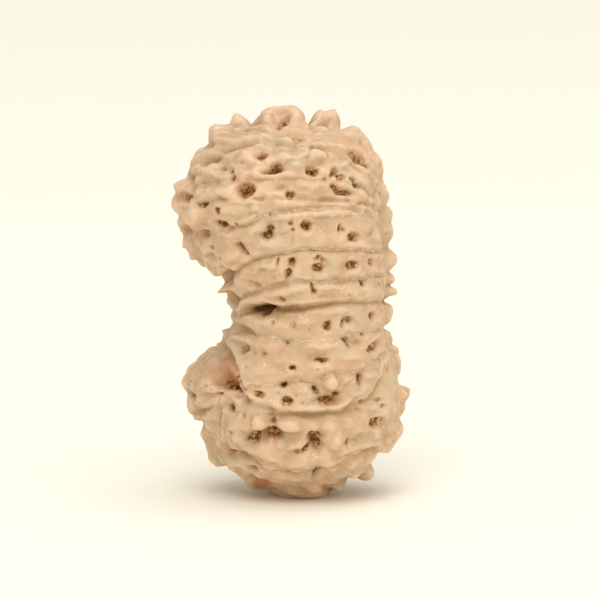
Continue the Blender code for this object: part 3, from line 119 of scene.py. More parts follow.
# Mukhi lines on the front, upper to lower: groove depth, how far the upper side stands proud, how clearly
# the pale thread shows, then x and height along the sight line. The seventh runs along the open crack.
MUKHI_LINES = (
    (0.2, 0.1, 0.15, (-5.54, 20.83, -5.16, 21.21, -4.78, 21.53, -4.39, 21.78, -3.76, 21.97, -3.06, 22.17,
                      -2.23, 22.29, -0.89, 22.29, 0.38, 22.17, 1.85, 21.85, 3.44, 21.21, 4.59, 20.13)),
    (0.08, 0.06, 0.0, (-6.43, 19.68, -5.41, 19.87, -3.89, 19.94, -1.85, 20, 0, 19.94, 1.97, 19.94, 3.76,
                       19.75, 4.97, 18.98)),
    (0.08, 0.04, 0.1, (-6.88, 17.71, -5.48, 18.54, -3.82, 18.73, -1.85, 18.73, 0.57, 18.73, 3.76, 18.66,
                       5.16, 18.34)),
    (0.14, -0.06, 0.7, (-4.14, 16.75, -3.57, 17.01, -2.93, 17.07, -2.29, 17.39, -1.66, 17.71, -1.02, 17.96,
                        0.57, 18.09, 3.44, 18.15, 4.71, 17.96, 5.41, 17.26, 6.31, 17.07)),
    (0.18, 0.1, 0.8, (-4.08, 13.82, -3.63, 14.08, -3.18, 14.39, -2.55, 14.84, -1.46, 15.16, -0.38, 15.35,
                      0.57, 15.48, 1.85, 15.54, 3.76, 15.54, 5.54, 15.48, 6.43, 15.8)),
    (0.16, 0.04, 0.7, (-3.89, 12.17, -3.44, 12.42, -2.55, 12.74, -1.97, 13.06, -0.89, 13.38, 0.57, 13.5,
                       3.44, 13.57, 4.39, 13.76, 5.61, 13.95, 6.62, 13.95)),
    (0.0, 0.26, 0.35, (-3.76, 11.66, -2.61, 11.72, -1.66, 11.97, -0.64, 11.78, 0.57, 11.85, 1.85, 12.04,
                       2.55, 12.17, 3.76, 12.29, 6.05, 12.42, 6.69, 12.42)),
    (0.07, 0.04, 0.6, (-3.38, 10.64, -2.61, 10.38, -0.89, 9.94, 0.7, 9.81, 2.8, 9.94, 3.89, 10.19, 5.03,
                       10.45, 6.05, 10.7, 6.69, 10.83)),
    (0.1, 0.08, 0.7, (-4.33, 9.62, -3.69, 8.79, -3.38, 7.9, -3.06, 6.82, 0.06, 7.2, 1.21, 7.32, 2.36, 7.77,
                      3.25, 7.77, 3.95, 7.83, 4.78, 8.03, 5.48, 8.34, 5.99, 9.04, 6.82, 9.36)),
    (0.14, 0.2, 0.6, (-4.84, 6.5, -3.25, 6.37, -1.85, 5.73, -0.7, 5.41, 0.57, 5.29, 1.85, 5.29, 3.12, 5.41,
                      3.82, 5.86, 4.65, 6.11, 5.41, 6.94, 5.86, 8.15)),
    (0.16, 0.4, 0.3, (-4.59, 5.67, -4.52, 4.71, -4.33, 4.01, -4.08, 3.57, -3.82, 3.18, -3.38, 2.87, -2.87,
                      2.74, -2.36, 2.36, -1.85, 2.04, -1.34, 1.72, -0.51, 1.78, 0.57, 1.53, 1.34, 1.53,
                      1.78, 1.85, 2.48, 2.1, 2.93, 2.23, 3.82, 2.61, 5.03, 3.06, 6.24, 3.18)),
    (0.16, 0.5, 0.2, (-4.2, 1.78, -2.48, 1.4, -2.1, 1.27, -1.34, 0.96, -0.38, 0.64, 0.57, 0.7, 1.85, 0.76,
                      3.12, 0.83, 3.89, 1.34, 4.78, 1.91, 5.73, 2.48)),
)

# How deep the open crack runs: x, depth.
CRACK_DEPTH = ((-3.4, 0.2), (-2.8, 0.85), (-2.3, 1.15), (-1.7, 0.95), (-1.1, 0.5), (0.9, 0.42), (2.6, 0.3),
               (4.0, 0.15), (6.0, 0.05))

# Creases that aren't mukhi lines: depth, half width, how far the upper side stands proud, x and height.
CREASES = (
    (0.1, 0.15, 0.2, (-5.54, 20.83, -5.16, 21.21, -4.78, 21.53, -4.39, 21.78, -3.76, 21.97, -3.06, 22.17,
                      -2.23, 22.29, -0.89, 22.29, 0.25, 22.1)),
    (0.14, 0.15, 0.3, (-4.27, 9.55, -3.82, 8.85, -3.57, 8.15, -3.38, 7.39, -3.06, 6.82)),
    (0.1, 0.15, 0, (-5.22, 20.83, -4.84, 21.08, -4.39, 21.34)),
    (0.3, 0.2, 0, (-6.43, 20.51, -6.31, 19.75, -6.31, 19.04)),
    (0.2, 0.17, 0, (4.84, 20.25, 5.03, 19.49, 5.22, 18.22)),
    (0.2, 0.13, 0, (-5.86, 5.29, -5.48, 5.48, -5.03, 5.67)),
    (0.1, 0.15, 0, (0.89, 22.17, 1.97, 22.42, 3.12, 22.17)),
    (0.12, 0.13, 0, (4.2, 22.36, 4.52, 22.04, 4.78, 21.72)),
    (0.1, 0.1, 0, (0, 17.83, 0, 15.86)),
    (0.1, 0.13, 0, (-3.82, 11.02, -3.25, 10.7, -2.55, 10.25)),
    (0.14, 0.1, 0, (5.86, 9.49, 5.92, 9.04, 5.67, 8.73, 5.29, 8.6)),
    (0.1, 0.1, 0, (0.51, 7.32, 0.96, 7.2, 1.4, 7.13)),
    (0.12, 0.09, 0, (3.44, 18.73, 3.57, 18.41, 3.89, 18.28, 4.2, 18.47)),
    (0.14, 0.09, 0, (0.89, 21.27, 1.02, 21.66, 1.27, 21.85, 1.66, 21.91, 2.04, 21.72, 2.23, 21.34)),
    (0.3, 0.15, 0, (2.04, 0.7, 1.97, 0)),
    (0.26, 0.14, 0, (3.57, 0.89, 3.69, 0.25)),
    (0.2, 0.13, 0, (0.96, 23.95, 1.15, 23.18)),
    (0.16, 0.13, 0, (1.27, 24.33, 1.53, 23.76, 1.97, 23.31, 2.36, 23.06)),
    (0.1, 0.11, 0, (-2.1, 12.8, -1.02, 13.18, -0.38, 13.31)),
)

# Spots of relief on the front: x, height along the sight line, half length, half width, turn in degrees,
# height or depth.
KNOBS = (
    (-2.1, 23.12, 1.15, 0.45, 0, 0.17), (-4.65, 22.8, 0.89, 0.45, 15, 0.26),
    (-4.2, 22.36, 0.76, 0.19, 15, 0.17), (-3.38, 23.5, 0.51, 0.45, 0, 0.22),
    (-5.8, 21.46, 0.51, 0.64, 20, 0.17), (-4.78, 20.7, 0.38, 0.25, 10, 0.17),
    (-5.48, 20.45, 0.96, 0.25, 0, 0.22), (-2.61, 21.08, 0.89, 0.38, 0, 0.19),
    (1.53, 23.5, 0.89, 0.38, 0, 0.13), (3.76, 22.74, 0.76, 0.7, -30, 0.32),
    (2.48, 22.17, 0.89, 0.38, -10, 0.15), (0.57, 21.91, 0.64, 0.32, 10, 0.13),
    (1.72, 20.45, 0.51, 0.25, 0, 0.11), (1.59, 21.46, 0.89, 0.51, 0, 0.28),
    (0.32, 20.96, 0.45, 0.51, 0, 0.17), (1.4, 19.55, 1.02, 0.51, 0, 0.26),
    (3.63, 19.87, 0.64, 0.19, -20, 0.17), (4.71, 20.13, 0.32, 0.51, 0, 0.13),
    (-1.34, 20.13, 1.27, 0.22, 0, 0.24), (-4.39, 18.92, 1.15, 0.38, 0, 0.19),
    (-3.06, 18.54, 1.27, 0.29, 0, 0.24), (-1.46, 18.79, 0.32, 0.32, 30, 0.15),
    (-0.38, 18.54, 0.64, 0.38, 0, 0.17), (3.82, 18.54, 0.38, 0.25, 0, 0.11),
    (2.8, 19.94, 0.64, 0.19, 0, 0.13), (4.39, 19.04, 0.38, 0.45, 0, 0.11),
    (-7.13, 18.73, 0.45, 1.08, 0, 0.37), (-5.61, 17.71, 0.38, 0.64, 0, 0.14),
    (-3.76, 17.96, 0.89, 0.45, 0, 0.15), (-2.61, 17.32, 1.4, 0.25, 22, 0.24),
    (-4.39, 16.18, 0.45, 0.64, 0, 0.14), (-6.11, 15.54, 0.57, 0.64, 10, 0.3),
    (-6.62, 16.05, 0.32, 0.45, 0, 0.2), (-5.22, 15.03, 0.25, 0.32, 30, 0.14),
    (-5.41, 14.52, 0.45, 0.32, 0, 0.24), (-3.82, 15.22, 0.64, 0.51, 20, 0.32),
    (-4.71, 14.39, 0.25, 0.45, 0, 0.22), (2.48, 17.71, 1.66, 0.23, -2, 0.22),
    (-0.38, 17.52, 1.15, 0.23, 10, 0.2), (-1.34, 15.86, 1.02, 0.32, 4, 0.12),
    (2.48, 16.18, 0.89, 0.38, 0, 0.1), (0.89, 16.43, 0.64, 0.32, 0, 0.1),
    (4.59, 17.13, 0.45, 0.76, 0, 0.14), (-1.46, 14.52, 0.76, 0.32, 10, 0.2),
    (0.89, 14.78, 0.45, 0.45, 0, 0.1), (2.68, 14.78, 0.51, 0.51, 0, 0.12),
    (0.57, 13.82, 0.89, 0.19, 0, 0.08), (2.48, 14.01, 0.51, 0.25, 0, 0.08),
    (-2.93, 13.38, 0.51, 0.51, 0, 0.16), (-1.02, 12.93, 1.15, 0.29, 8, 0.26),
    (2.48, 13.18, 0.89, 0.25, 0, 0.2), (0.25, 13.12, 0.64, 0.32, 0, 0.14),
    (-2.93, 12.29, 0.51, 0.25, 15, 0.2), (5.03, 12.87, 0.51, 0.32, 0, 0.1),
    (-3.06, 11.46, 0.38, 0.32, 0, 0.22), (-4.2, 10.19, 0.32, 0.25, 0, 0.22),
    (-3.18, 9.94, 0.7, 0.19, 0, 0.26), (0.7, 11.02, 0.64, 0.51, 0, 0.2),
    (-1.85, 10.96, 0.51, 0.32, 0, 0.14), (2.8, 11.59, 0.89, 0.25, 0, 0.12),
    (4.27, 11.08, 0.38, 0.38, 0, 0.1), (3.12, 10.51, 1.27, 0.25, 0, 0.08),
    (4.71, 10.06, 0.51, 0.25, 0, 0.14), (-1.85, 9.55, 0.76, 0.45, 0, 0.16),
    (1.85, 9.49, 1.27, 0.32, 0, 0.2), (3.76, 8.79, 0.89, 0.38, 0, 0.19), (-0.7, 8.54, 0.76, 0.51, 0, 0.15),
    (0.45, 7.9, 0.64, 0.51, 0, 0.13), (-2.29, 7.77, 0.76, 0.64, 0, 0.22), (0.57, 6.75, 0.57, 0.38, 0, 0.19),
    (3.5, 7.32, 0.45, 0.32, 0, 0.22), (3.44, 6.5, 0.51, 0.51, 0, 0.13), (4.78, 7.64, 0.45, 0.32, 0, 0.15),
    (-2.29, 5.99, 0.38, 0.51, 0, 0.19), (-0.96, 5.8, 0.45, 0.45, -30, 0.22),
    (1.97, 5.61, 1.66, 0.25, 4, 0.3), (-3.95, 7.64, 0.16, 0.51, 32, 0.32),
    (-6.31, 7.26, 0.57, 1.02, 10, 0.13), (-3.89, 6.18, 0.76, 0.25, -30, 0.22),
    (-5.22, 5.03, 0.45, 0.51, 0, 0.17), (-5.03, 3.44, 0.38, 1.02, 0, 0.17),
    (-3.38, 4.2, 0.64, 0.89, 0, 0.28), (-3.57, 2.04, 0.32, 0.32, 0, 0.26),
    (-4.97, 2.48, 0.45, 0.57, 0, 0.22), (-1.66, 2.8, 1.02, 0.57, -15, 0.19),
    (-0.19, 4.39, 0.83, 0.38, 0, 0.37), (0.13, 3.25, 0.64, 0.38, 0, 0.22),
    (2.61, 3.95, 0.57, 0.89, 0, 0.28), (3.44, 4.46, 0.32, 0.51, 0, 0.11), (4.2, 3.12, 0.76, 0.25, 15, 0.19),
    (4.39, 4.39, 0.51, 0.64, 0, 0.15), (6.18, 4.39, 0.38, 0.64, 0, 0.15), (1.21, 2.17, 1.02, 0.51, 0, 0.22),
    (-0.38, 2.04, 0.64, 0.32, 0, 0.17), (-0.96, 1.4, 0.89, 0.25, -14, 0.17),
    (0.96, 0.32, 1.08, 0.51, 0, 0.43), (2.8, 0.57, 0.57, 0.32, 10, 0.22), (0.57, 1.08, 0.89, 0.25, 0, 0.17),
    (2.99, 1.53, 0.64, 0.51, 0, 0.22), (4.08, 2.04, 0.51, 0.38, 30, 0.15),
    (5.99, 5.99, 0.38, 0.89, 0, 0.15), (5.54, 7.58, 0.38, 0.64, 0, 0.11),
)
FIRM_KNOBS = (
    (2.36, 7.07, 0.45, 0.45, 0, 0.6), (-2.04, 4.46, 0.45, 0.51, 0, 0.4),
    (-6.05, 17.58, 0.45, 0.76, 0, 0.36), (-0.25, 4.39, 0.76, 0.45, 0, 0.16),
)
HOLLOWS = (
    (-0.25, 22.8, 0.83, 0.29, 0, 0.36), (-5.03, 21.27, 0.57, 0.25, 38, 0.3),
    (-4.01, 21.85, 0.51, 0.19, 15, 0.2), (-5.22, 19.62, 0.89, 0.38, 0, 0.2),
    (-6.31, 19.75, 0.19, 0.76, 0, 0.16), (-6.62, 18.03, 0.25, 0.45, 0, 0.16),
    (-0.64, 19.49, 0.76, 0.32, 0, 0.32), (-2.93, 23.06, 0.32, 0.25, 0, 0.26),
    (-1.15, 23.69, 0.38, 0.22, 0, 0.24), (-1.34, 21.85, 1.27, 0.25, 0, 0.2),
    (-4.39, 20.96, 0.38, 0.32, 0, 0.22), (1.59, 20.89, 0.57, 0.32, 0, 0.2),
    (3.31, 20.51, 0.45, 0.32, 0, 0.24), (2.99, 19.36, 0.64, 0.32, -15, 0.3),
    (5.48, 20.83, 0.32, 0.25, 0, 0.24), (4.08, 21.4, 0.7, 0.45, -40, 0.24),
    (1.85, 18.47, 1.53, 0.29, 0, 0.14), (0.76, 24.01, 0.25, 0.32, 0, 0.1),
    (0.13, 21.85, 0.32, 0.25, 0, 0.2), (2.17, 17.13, 0.89, 0.45, 0, 0.16),
    (5.61, 16.82, 0.22, 0.76, 0, 0.2), (-5.54, 17.13, 0.38, 0.25, 0, 0.16),
    (-6.62, 16.94, 0.32, 0.38, 0, 0.3), (-5.61, 16.5, 0.38, 0.25, 30, 0.32),
    (-4.9, 14.97, 0.22, 0.51, 20, 0.34), (-4.01, 14.2, 0.51, 0.38, 0, 0.36),
    (-4.2, 16.88, 0.57, 0.32, 0, 0.16), (-1.53, 17.2, 0.32, 0.32, 0, 0.2),
    (-3.25, 15.67, 0.57, 0.45, -40, 0.24), (-2.42, 13.44, 0.45, 0.25, -10, 0.24),
    (-3.57, 12.48, 0.51, 0.38, 0, 0.5), (2.48, 12.55, 1.4, 0.25, 0, 0.24),
    (3.44, 14.39, 0.51, 0.32, 0, 0.1), (4.65, 14.52, 0.32, 0.51, 0, 0.14),
    (5.54, 14.52, 0.19, 0.38, 0, 0.14), (-0.38, 11.72, 1.53, 0.25, 0, 0.12),
    (-1.85, 11.59, 1.08, 0.32, 0, 0.5), (-3.18, 10.64, 0.7, 0.32, -10, 0.22),
    (-3.25, 9.49, 0.45, 0.25, 0, 0.1), (-4.39, 8.98, 0.45, 0.45, 0, 0.2), (1.72, 8.92, 0.89, 0.32, 0, 0.36),
    (4.08, 9.68, 0.51, 0.25, -10, 0.2), (5.61, 8.85, 0.32, 0.38, -40, 0.2),
    (-0.38, 7.32, 0.51, 0.25, 0, 0.18), (2.29, 6.11, 0.96, 0.45, 0, 0.55),
    (1.53, 6.75, 0.32, 0.38, 20, 0.3), (2.8, 8.22, 0.38, 0.38, 0, 0.14),
    (-4.52, 7.52, 1.02, 0.64, -42, 0.9), (-3.76, 6.88, 0.7, 0.25, -30, 0.34),
    (-6.24, 6.43, 0.45, 0.25, -25, 0.36), (-5.8, 5.35, 0.45, 0.32, 30, 0.3),
    (-4.14, 5.67, 0.51, 0.32, -25, 0.3), (-2.93, 5.86, 0.25, 0.64, 0, 0.2),
    (-1.46, 5.1, 0.38, 0.64, -25, 0.34), (-1.85, 3.82, 1.08, 0.38, 4, 0.5),
    (-0.19, 5.1, 0.89, 0.25, 0, 0.26), (1.85, 5.16, 1.4, 0.25, 2, 0.2), (3.76, 5.41, 0.51, 0.38, 0, 0.22),
    (3.89, 3.63, 0.76, 0.32, 0, 0.18), (5.92, 4.08, 0.32, 0.51, 0, 0.12),
    (-2.99, 2.55, 0.7, 0.25, -22, 0.34), (-4.01, 2.99, 0.38, 0.45, -35, 0.34),
    (-1.46, 0.83, 0.89, 0.38, -12, 0.75), (1.46, 3.18, 0.57, 0.64, 0, 0.3),
    (3.5, 0.96, 0.57, 0.32, 30, 0.3), (4.65, 2.74, 0.76, 0.25, 15, 0.1), (-2.42, 1.78, 0.32, 0.19, 0, 0.2),
    (6.75, 5.41, 0.25, 0.51, 0, 0.16), (5.67, 2.48, 0.57, 0.25, 0, 0.3), (0.57, 5.16, 0.64, 0.19, 0, 0.1),
    (-1.85, 10.45, 0.89, 0.38, 0, 0.12), (4.39, 12.74, 0.51, 0.19, 0, 0.12),
)
PITS = (
    (-4.97, 22.17, 0.29, 0.29, 0, 0.4), (-0.51, 23.57, 0.38, 0.45, 0, 0.8),
    (0.38, 22.48, 0.51, 0.25, 0, 0.17), (1.91, 23.44, 0.45, 0.2, -45, 0.9),
    (4.14, 21.46, 0.7, 0.41, -40, 0.2), (3.82, 21.72, 0.19, 0.19, 0, 0.2),
    (4.39, 21.21, 0.25, 0.19, -30, 0.26), (4.78, 20.89, 0.25, 0.22, -50, 0.34),
    (-1.97, 21.53, 0.35, 0.32, 20, 0.6), (-1.34, 20.51, 0.7, 0.22, 10, 0.5),
    (-1.02, 20.83, 0.38, 0.35, 0, 0.5), (1.08, 20.57, 0.32, 0.35, 0, 0.5),
    (1.46, 20.51, 0.19, 0.25, 0, 0.4), (2.68, 20.45, 0.22, 0.32, -50, 0.4),
    (3.06, 20.19, 0.32, 0.25, -20, 0.5), (3.76, 19.94, 0.25, 0.14, -35, 0.34),
    (4.08, 19.68, 0.25, 0.17, -45, 0.4), (2.8, 19.49, 0.38, 0.17, -25, 0.3),
    (3.31, 19.11, 0.57, 0.17, -8, 0.45), (4.97, 19.55, 0.2, 0.38, 14, 0.45),
    (5.22, 18.73, 0.19, 0.51, 6, 0.45), (-2.99, 19.43, 0.51, 0.54, 0, 0.85),
    (-0.06, 19.04, 0.29, 0.29, 0, 0.5), (-4.33, 20.7, 0.25, 0.19, 0, 0.22),
    (-3.69, 20.51, 0.15, 0.15, 0, 0.2), (-3.69, 20.13, 0.13, 0.18, 0, 0.24),
    (-6.75, 18.92, 0.51, 0.32, 8, 0.65), (-5.61, 18.47, 0.32, 0.19, 20, 0.42),
    (-4.65, 18.03, 0.19, 0.23, 0, 0.3), (-4.52, 17.2, 0.38, 0.22, -8, 0.4),
    (-1.4, 16.88, 0.22, 0.32, -20, 0.45), (-1.66, 16.43, 0.38, 0.25, 15, 0.5),
    (-0.06, 17.26, 0.15, 0.15, 0, 0.26), (0, 16.75, 0.11, 0.11, 0, 0.2), (0.89, 17.13, 0.38, 0.32, 0, 0.5),
    (2.93, 17.01, 0.11, 0.32, -20, 0.3), (3.12, 16.82, 0.17, 0.17, 0, 0.3),
    (3.82, 16.43, 0.38, 0.32, 0, 0.5), (-3.31, 15.8, 0.25, 0.19, -40, 0.34),
    (-2.99, 15.41, 0.32, 0.17, -40, 0.4), (0.06, 14.78, 0.23, 0.32, -20, 0.42),
    (-0.25, 14.08, 0.18, 0.38, -28, 0.4), (1.59, 15.03, 0.25, 0.15, 20, 0.3),
    (1.97, 14.84, 0.15, 0.19, 0, 0.3), (1.66, 14.46, 0.38, 0.28, 0, 0.42),
    (3.76, 14.59, 0.38, 0.29, 0, 0.42), (5.03, 14.78, 0.17, 0.25, 0, 0.3),
    (-0.89, 14.78, 0.13, 0.25, 0, 0.2), (-3.76, 13.57, 0.19, 0.13, 0, 0.3),
    (-2.23, 13.44, 0.32, 0.16, -10, 0.2), (1.21, 13.25, 0.17, 0.25, -15, 0.28),
    (1.34, 12.93, 0.19, 0.19, 0, 0.32), (4.39, 13.44, 0.2, 0.2, 0, 0.34), (5.48, 13.25, 0.1, 0.25, 0, 0.26),
    (5.73, 13.31, 0.11, 0.45, 8, 0.34), (-0.57, 12.48, 0.19, 0.13, -15, 0.26),
    (-3.57, 11.59, 0.23, 0.22, -15, 0.6), (-2.1, 11.72, 0.45, 0.35, 0, 0.3),
    (2.17, 10.89, 0.32, 0.28, 0, 0.38), (3.25, 11.02, 0.14, 0.32, -10, 0.4),
    (3.63, 11.21, 0.25, 0.22, 0, 0.36), (5.1, 11.4, 0.22, 0.25, 0, 0.38),
    (0.06, 10.83, 0.19, 0.25, 0, 0.14), (-1.21, 10.96, 0.13, 0.13, 0, 0.18),
    (-0.38, 9.75, 0.17, 0.14, 0, 0.2), (-2.99, 9.36, 0.34, 0.23, 0, 0.4), (5.22, 9.43, 0.45, 0.2, 22, 0.55),
    (1.85, 8.6, 0.57, 0.19, -3, 0.42), (3.57, 9.68, 0.17, 0.32, 10, 0.17),
    (-1.72, 8.85, 0.19, 0.17, 0, 0.16), (0, 8.15, 0.19, 0.19, 0, 0.38), (-0.64, 7.07, 0.28, 0.24, 0, 0.46),
    (-4.39, 7.52, 0.96, 0.57, -45, 0.95), (-3.76, 7.83, 0.19, 0.32, -45, 0.36),
    (-3.57, 7.39, 0.17, 0.25, -30, 0.36), (-3.69, 6.82, 0.51, 0.14, -28, 0.34),
    (-2.1, 6.5, 0.38, 0.25, -10, 0.42), (-0.32, 6.05, 0.41, 0.32, 0, 0.46),
    (1.53, 6.75, 0.19, 0.32, 25, 0.34), (2.29, 6.11, 0.57, 0.32, 4, 0.36),
    (2.87, 6.56, 0.22, 0.22, 0, 0.34), (4.27, 7.45, 0.19, 0.38, -12, 0.42),
    (-6.24, 6.37, 0.34, 0.22, -25, 0.36), (-3.89, 5.48, 0.25, 0.25, -45, 0.45),
    (5.29, 4.78, 0.41, 0.38, 0, 0.42), (-2.55, 3.69, 0.38, 0.29, 15, 0.5), (-1.34, 3.95, 0.7, 0.45, 8, 0.6),
    (-1.27, 4.71, 0.23, 0.25, -30, 0.2), (1.4, 3.82, 0.45, 0.38, 0, 0.5), (1.53, 3.25, 0.38, 0.35, 0, 0.55),
    (0.64, 2.93, 0.57, 0.17, 12, 0.45), (3.5, 3.5, 0.13, 0.25, 0, 0.36),
    (-3.95, 3.06, 0.25, 0.38, -32, 0.55), (1.59, 1.46, 0.19, 0.32, -20, 0.4),
    (2.99, 1.34, 0.1, 0.1, 0, 0.2), (-6.43, 16.82, 0.25, 0.32, 0, 0.24),
    (-5.61, 16.56, 0.29, 0.25, 35, 0.3), (-5.03, 15.67, 0.11, 0.14, 0, 0.3),
    (5.48, 6.11, 0.15, 0.11, 0, 0.26), (5.61, 5.73, 0.15, 0.15, 0, 0.2), (6.88, 6.88, 0.11, 0.19, 0, 0.34),
    (7.01, 6.37, 0.1, 0.32, 5, 0.3), (6.82, 7.2, 0.09, 0.25, 0, 0.3), (4.52, 10.25, 0.11, 0.1, 0, 0.26),
    (-2.42, 1.78, 0.19, 0.13, -20, 0.24), (-3.5, 17.13, 0.11, 0.1, 30, 0.26),
    (-1.46, 17.77, 0.1, 0.13, 0, 0.16), (4.46, 6.05, 0.13, 0.09, 0, 0.2), (1.15, 21.97, 0.11, 0.1, 0, 0.22),
    (-3.63, 4.2, 0.11, 0.1, 0, 0.2), (-6.05, 20.83, 0.1, 0.1, 0, 0.16), (-2.99, 5.16, 0.1, 0.14, 0, 0.2),
    (-2.87, 22.74, 0.11, 0.14, 0, 0.3), (-4.78, 6.5, 0.13, 0.09, 0, 0.24),
    (3.44, 9.94, 0.25, 0.11, 0, 0.26), (-4.46, 15.1, 0.1, 0.13, 0, 0.2), (4.2, 5.48, 0.13, 0.13, 0, 0.12),
    (-5.54, 5.22, 0.19, 0.19, 0, 0.1), (2.04, 20, 0.13, 0.1, 0, 0.18), (5.41, 7.96, 0.1, 0.19, 0, 0.2),
    (6.18, 9.94, 0.13, 0.13, 0, 0.16),
)

# Spots of relief along the outline: x, height along the sight line, half length along the outline, half
# depth from front to back, turn in degrees, height or depth.
RIM_KNOBS = (
    (-3.18, 23.89, 0.51, 1.02, 0, 0.62), (-4.08, 23.5, 0.76, 0.89, 0, 0.36),
    (-1.59, 24.2, 0.76, 1.53, 0, 0.62), (-0.13, 24.39, 1.08, 1.91, 0, 0.56),
    (1.97, 24.2, 0.83, 1.53, 0, 0.74), (2.68, 24.01, 0.45, 1.15, 0, 0.28),
    (4.01, 22.99, 0.76, 0.76, 0, 0.1), (4.9, 22.42, 0.64, 0.64, 0, 0.14),
    (5.73, 21.08, 0.64, 0.76, 0, 0.24), (6.18, 19.17, 0.89, 0.76, 0, 0.46),
    (6.43, 17.9, 0.51, 0.7, 0, 0.34), (6.5, 16.82, 0.57, 0.7, 0, 0.34), (6.69, 14.9, 0.64, 0.76, 0, 0.5),
    (6.69, 13.69, 0.35, 0.57, 0, 0.58), (6.69, 12.93, 0.35, 0.57, 0, 0.7),
    (6.62, 11.59, 0.57, 0.64, 0, 0.24), (6.5, 9.75, 0.57, 0.64, 0, 0.2), (6.94, 8.92, 0.57, 0.7, 0, 0.2),
    (7.13, 8.15, 0.57, 0.7, 0, 0.1), (7.52, 6.5, 0.64, 0.83, 0, 0.7), (7.26, 5.22, 0.64, 0.76, 0, 0.26),
    (7.01, 3.82, 0.7, 0.83, 0, 0.46), (6.37, 2.87, 0.57, 0.64, 0, 0.32), (4.97, 1.27, 0.7, 0.96, 0, 0.44),
    (3.18, 0.38, 0.64, 0.64, 0, 0.1), (0.76, 0.06, 1.15, 0.51, 0, 0.5), (-2.61, 0.45, 0.64, 0.51, 0, 0.36),
    (-4.9, 2.1, 0.57, 0.57, 0, 0.4), (-5.35, 2.93, 0.64, 0.57, 0, 0.12), (-5.61, 4.08, 0.57, 0.51, 0, 0.18),
    (-6.31, 5.29, 0.76, 0.76, 0, 0.24), (-6.69, 6.43, 0.7, 0.76, 0, 0.12),
    (-6.75, 7.32, 0.89, 0.89, 0, 0.25), (-6.43, 8.22, 0.57, 0.64, 0, 0.14),
    (-5.8, 8.73, 0.57, 0.64, 0, 0.12), (-5.03, 9.36, 0.51, 0.57, 0, 0.36),
    (-4.46, 9.94, 0.57, 0.76, 0, 0.42), (-3.82, 11.85, 0.76, 0.51, 0, 0.56),
    (-4.65, 13.12, 0.45, 0.76, 0, 1.42), (-4.9, 14.27, 0.45, 0.51, 0, 0.36),
    (-5.92, 14.84, 0.57, 0.76, 0, 0.34), (-6.56, 15.54, 0.57, 0.51, 0, 0.02),
    (-7.13, 17.07, 0.51, 0.57, 0, 0.4), (-7.52, 18.73, 1.15, 0.89, 0, 0.3),
    (-7.2, 19.87, 0.57, 0.7, 0, 0.26), (-6.56, 20.76, 0.64, 0.7, 0, 0.3), (-6.18, 21.59, 0.7, 0.7, 0, 0.26),
    (-5.16, 22.93, 0.7, 0.76, 0, 0.48),
)
NOTCHES = (
    (0.99, 24.01, 0.2, 2.55, 0, 0.9), (-2.23, 23.89, 0.32, 1.91, 0, 0.5),
    (-2.61, 23.76, 0.32, 2.17, 0, 0.55), (3.31, 23.57, 0.32, 2.17, 0, 0.5),
    (5.22, 2.23, 0.51, 2.17, 0, 1.35), (2.42, 0.19, 0.32, 1.91, 0, 1.25), (-3.76, 1.4, 0.7, 1.27, 0, 0.85),
    (6.18, 12.29, 0.25, 2.29, 0, 0.6), (6.11, 10.64, 0.25, 2.29, 0, 0.42),
    (6.24, 15.73, 0.32, 1.91, 0, 0.15), (6.94, 7.26, 0.32, 1.91, 0, 0.48),
    (-4.01, 13.82, 0.29, 2.87, 0, 1.2), (-5.67, 4.59, 0.32, 1.53, 0, 0.4),
    (-4.08, 9.81, 0.38, 1.53, 0, 0.4), (-5.54, 22.36, 0.32, 0.51, 0, 0.2),
)

# Red brown areas, partly the stone's own red brown and partly painted shade in recesses and under bulges:
# x, height along the sight line, half length, half width, turn in degrees, strength.
STAIN_AND_SHADE_AREAS = (
    (-7.01, 18.79, 0.45, 0.38, 0, 0.55), (-4.27, 8.15, 0.57, 1.02, -25, 0.8),
    (-6.56, 16.94, 0.25, 0.51, 0, 0.7), (-5.61, 16.5, 0.38, 0.32, 0, 0.6),
    (-6.05, 15.48, 0.38, 0.57, 0, 0.35), (-4.01, 14.27, 0.57, 0.38, 0, 0.5),
    (-1.21, 4.78, 0.32, 0.32, 0, 0.7), (-3.82, 2.99, 0.32, 0.57, -30, 0.9),
    (-1.72, 0.89, 0.76, 0.45, 10, 0.9), (4.46, 1.4, 0.38, 0.38, 0, 0.5), (4.08, 21.4, 0.7, 0.51, -40, 0.55),
    (0.32, 22.48, 0.51, 0.25, 0, 0.4), (-3.12, 10.7, 0.7, 0.32, 0, 0.35), (2.17, 0.45, 0.89, 0.25, 0, 0.35),
    (-3.06, 15.67, 0.45, 0.38, -45, 0.5), (-4.39, 17.2, 0.51, 0.25, 0, 0.4),
    (3.12, 19.36, 0.76, 0.25, -15, 0.4), (5.03, 19.49, 0.19, 0.76, 0, 0.3),
    (0.57, 6.05, 0.38, 0.25, 0, 0.3), (-0.25, 16.82, 0.51, 0.38, 0, 0.2),
)

# Areas of the front in which the folds fade: x, height along the sight line, half length, half width.
CALM_AREAS = (
    (-6.7, 7.0, 1.7, 2.4), (-7.0, 18.8, 1.3, 1.9), (4.3, 20.2, 1.5, 1.9), (-4.9, 3.6, 1.3, 1.6),
    (6.6, 5.6, 1.4, 3.0), (4.7, 22.6, 1.4, 1.0),
)


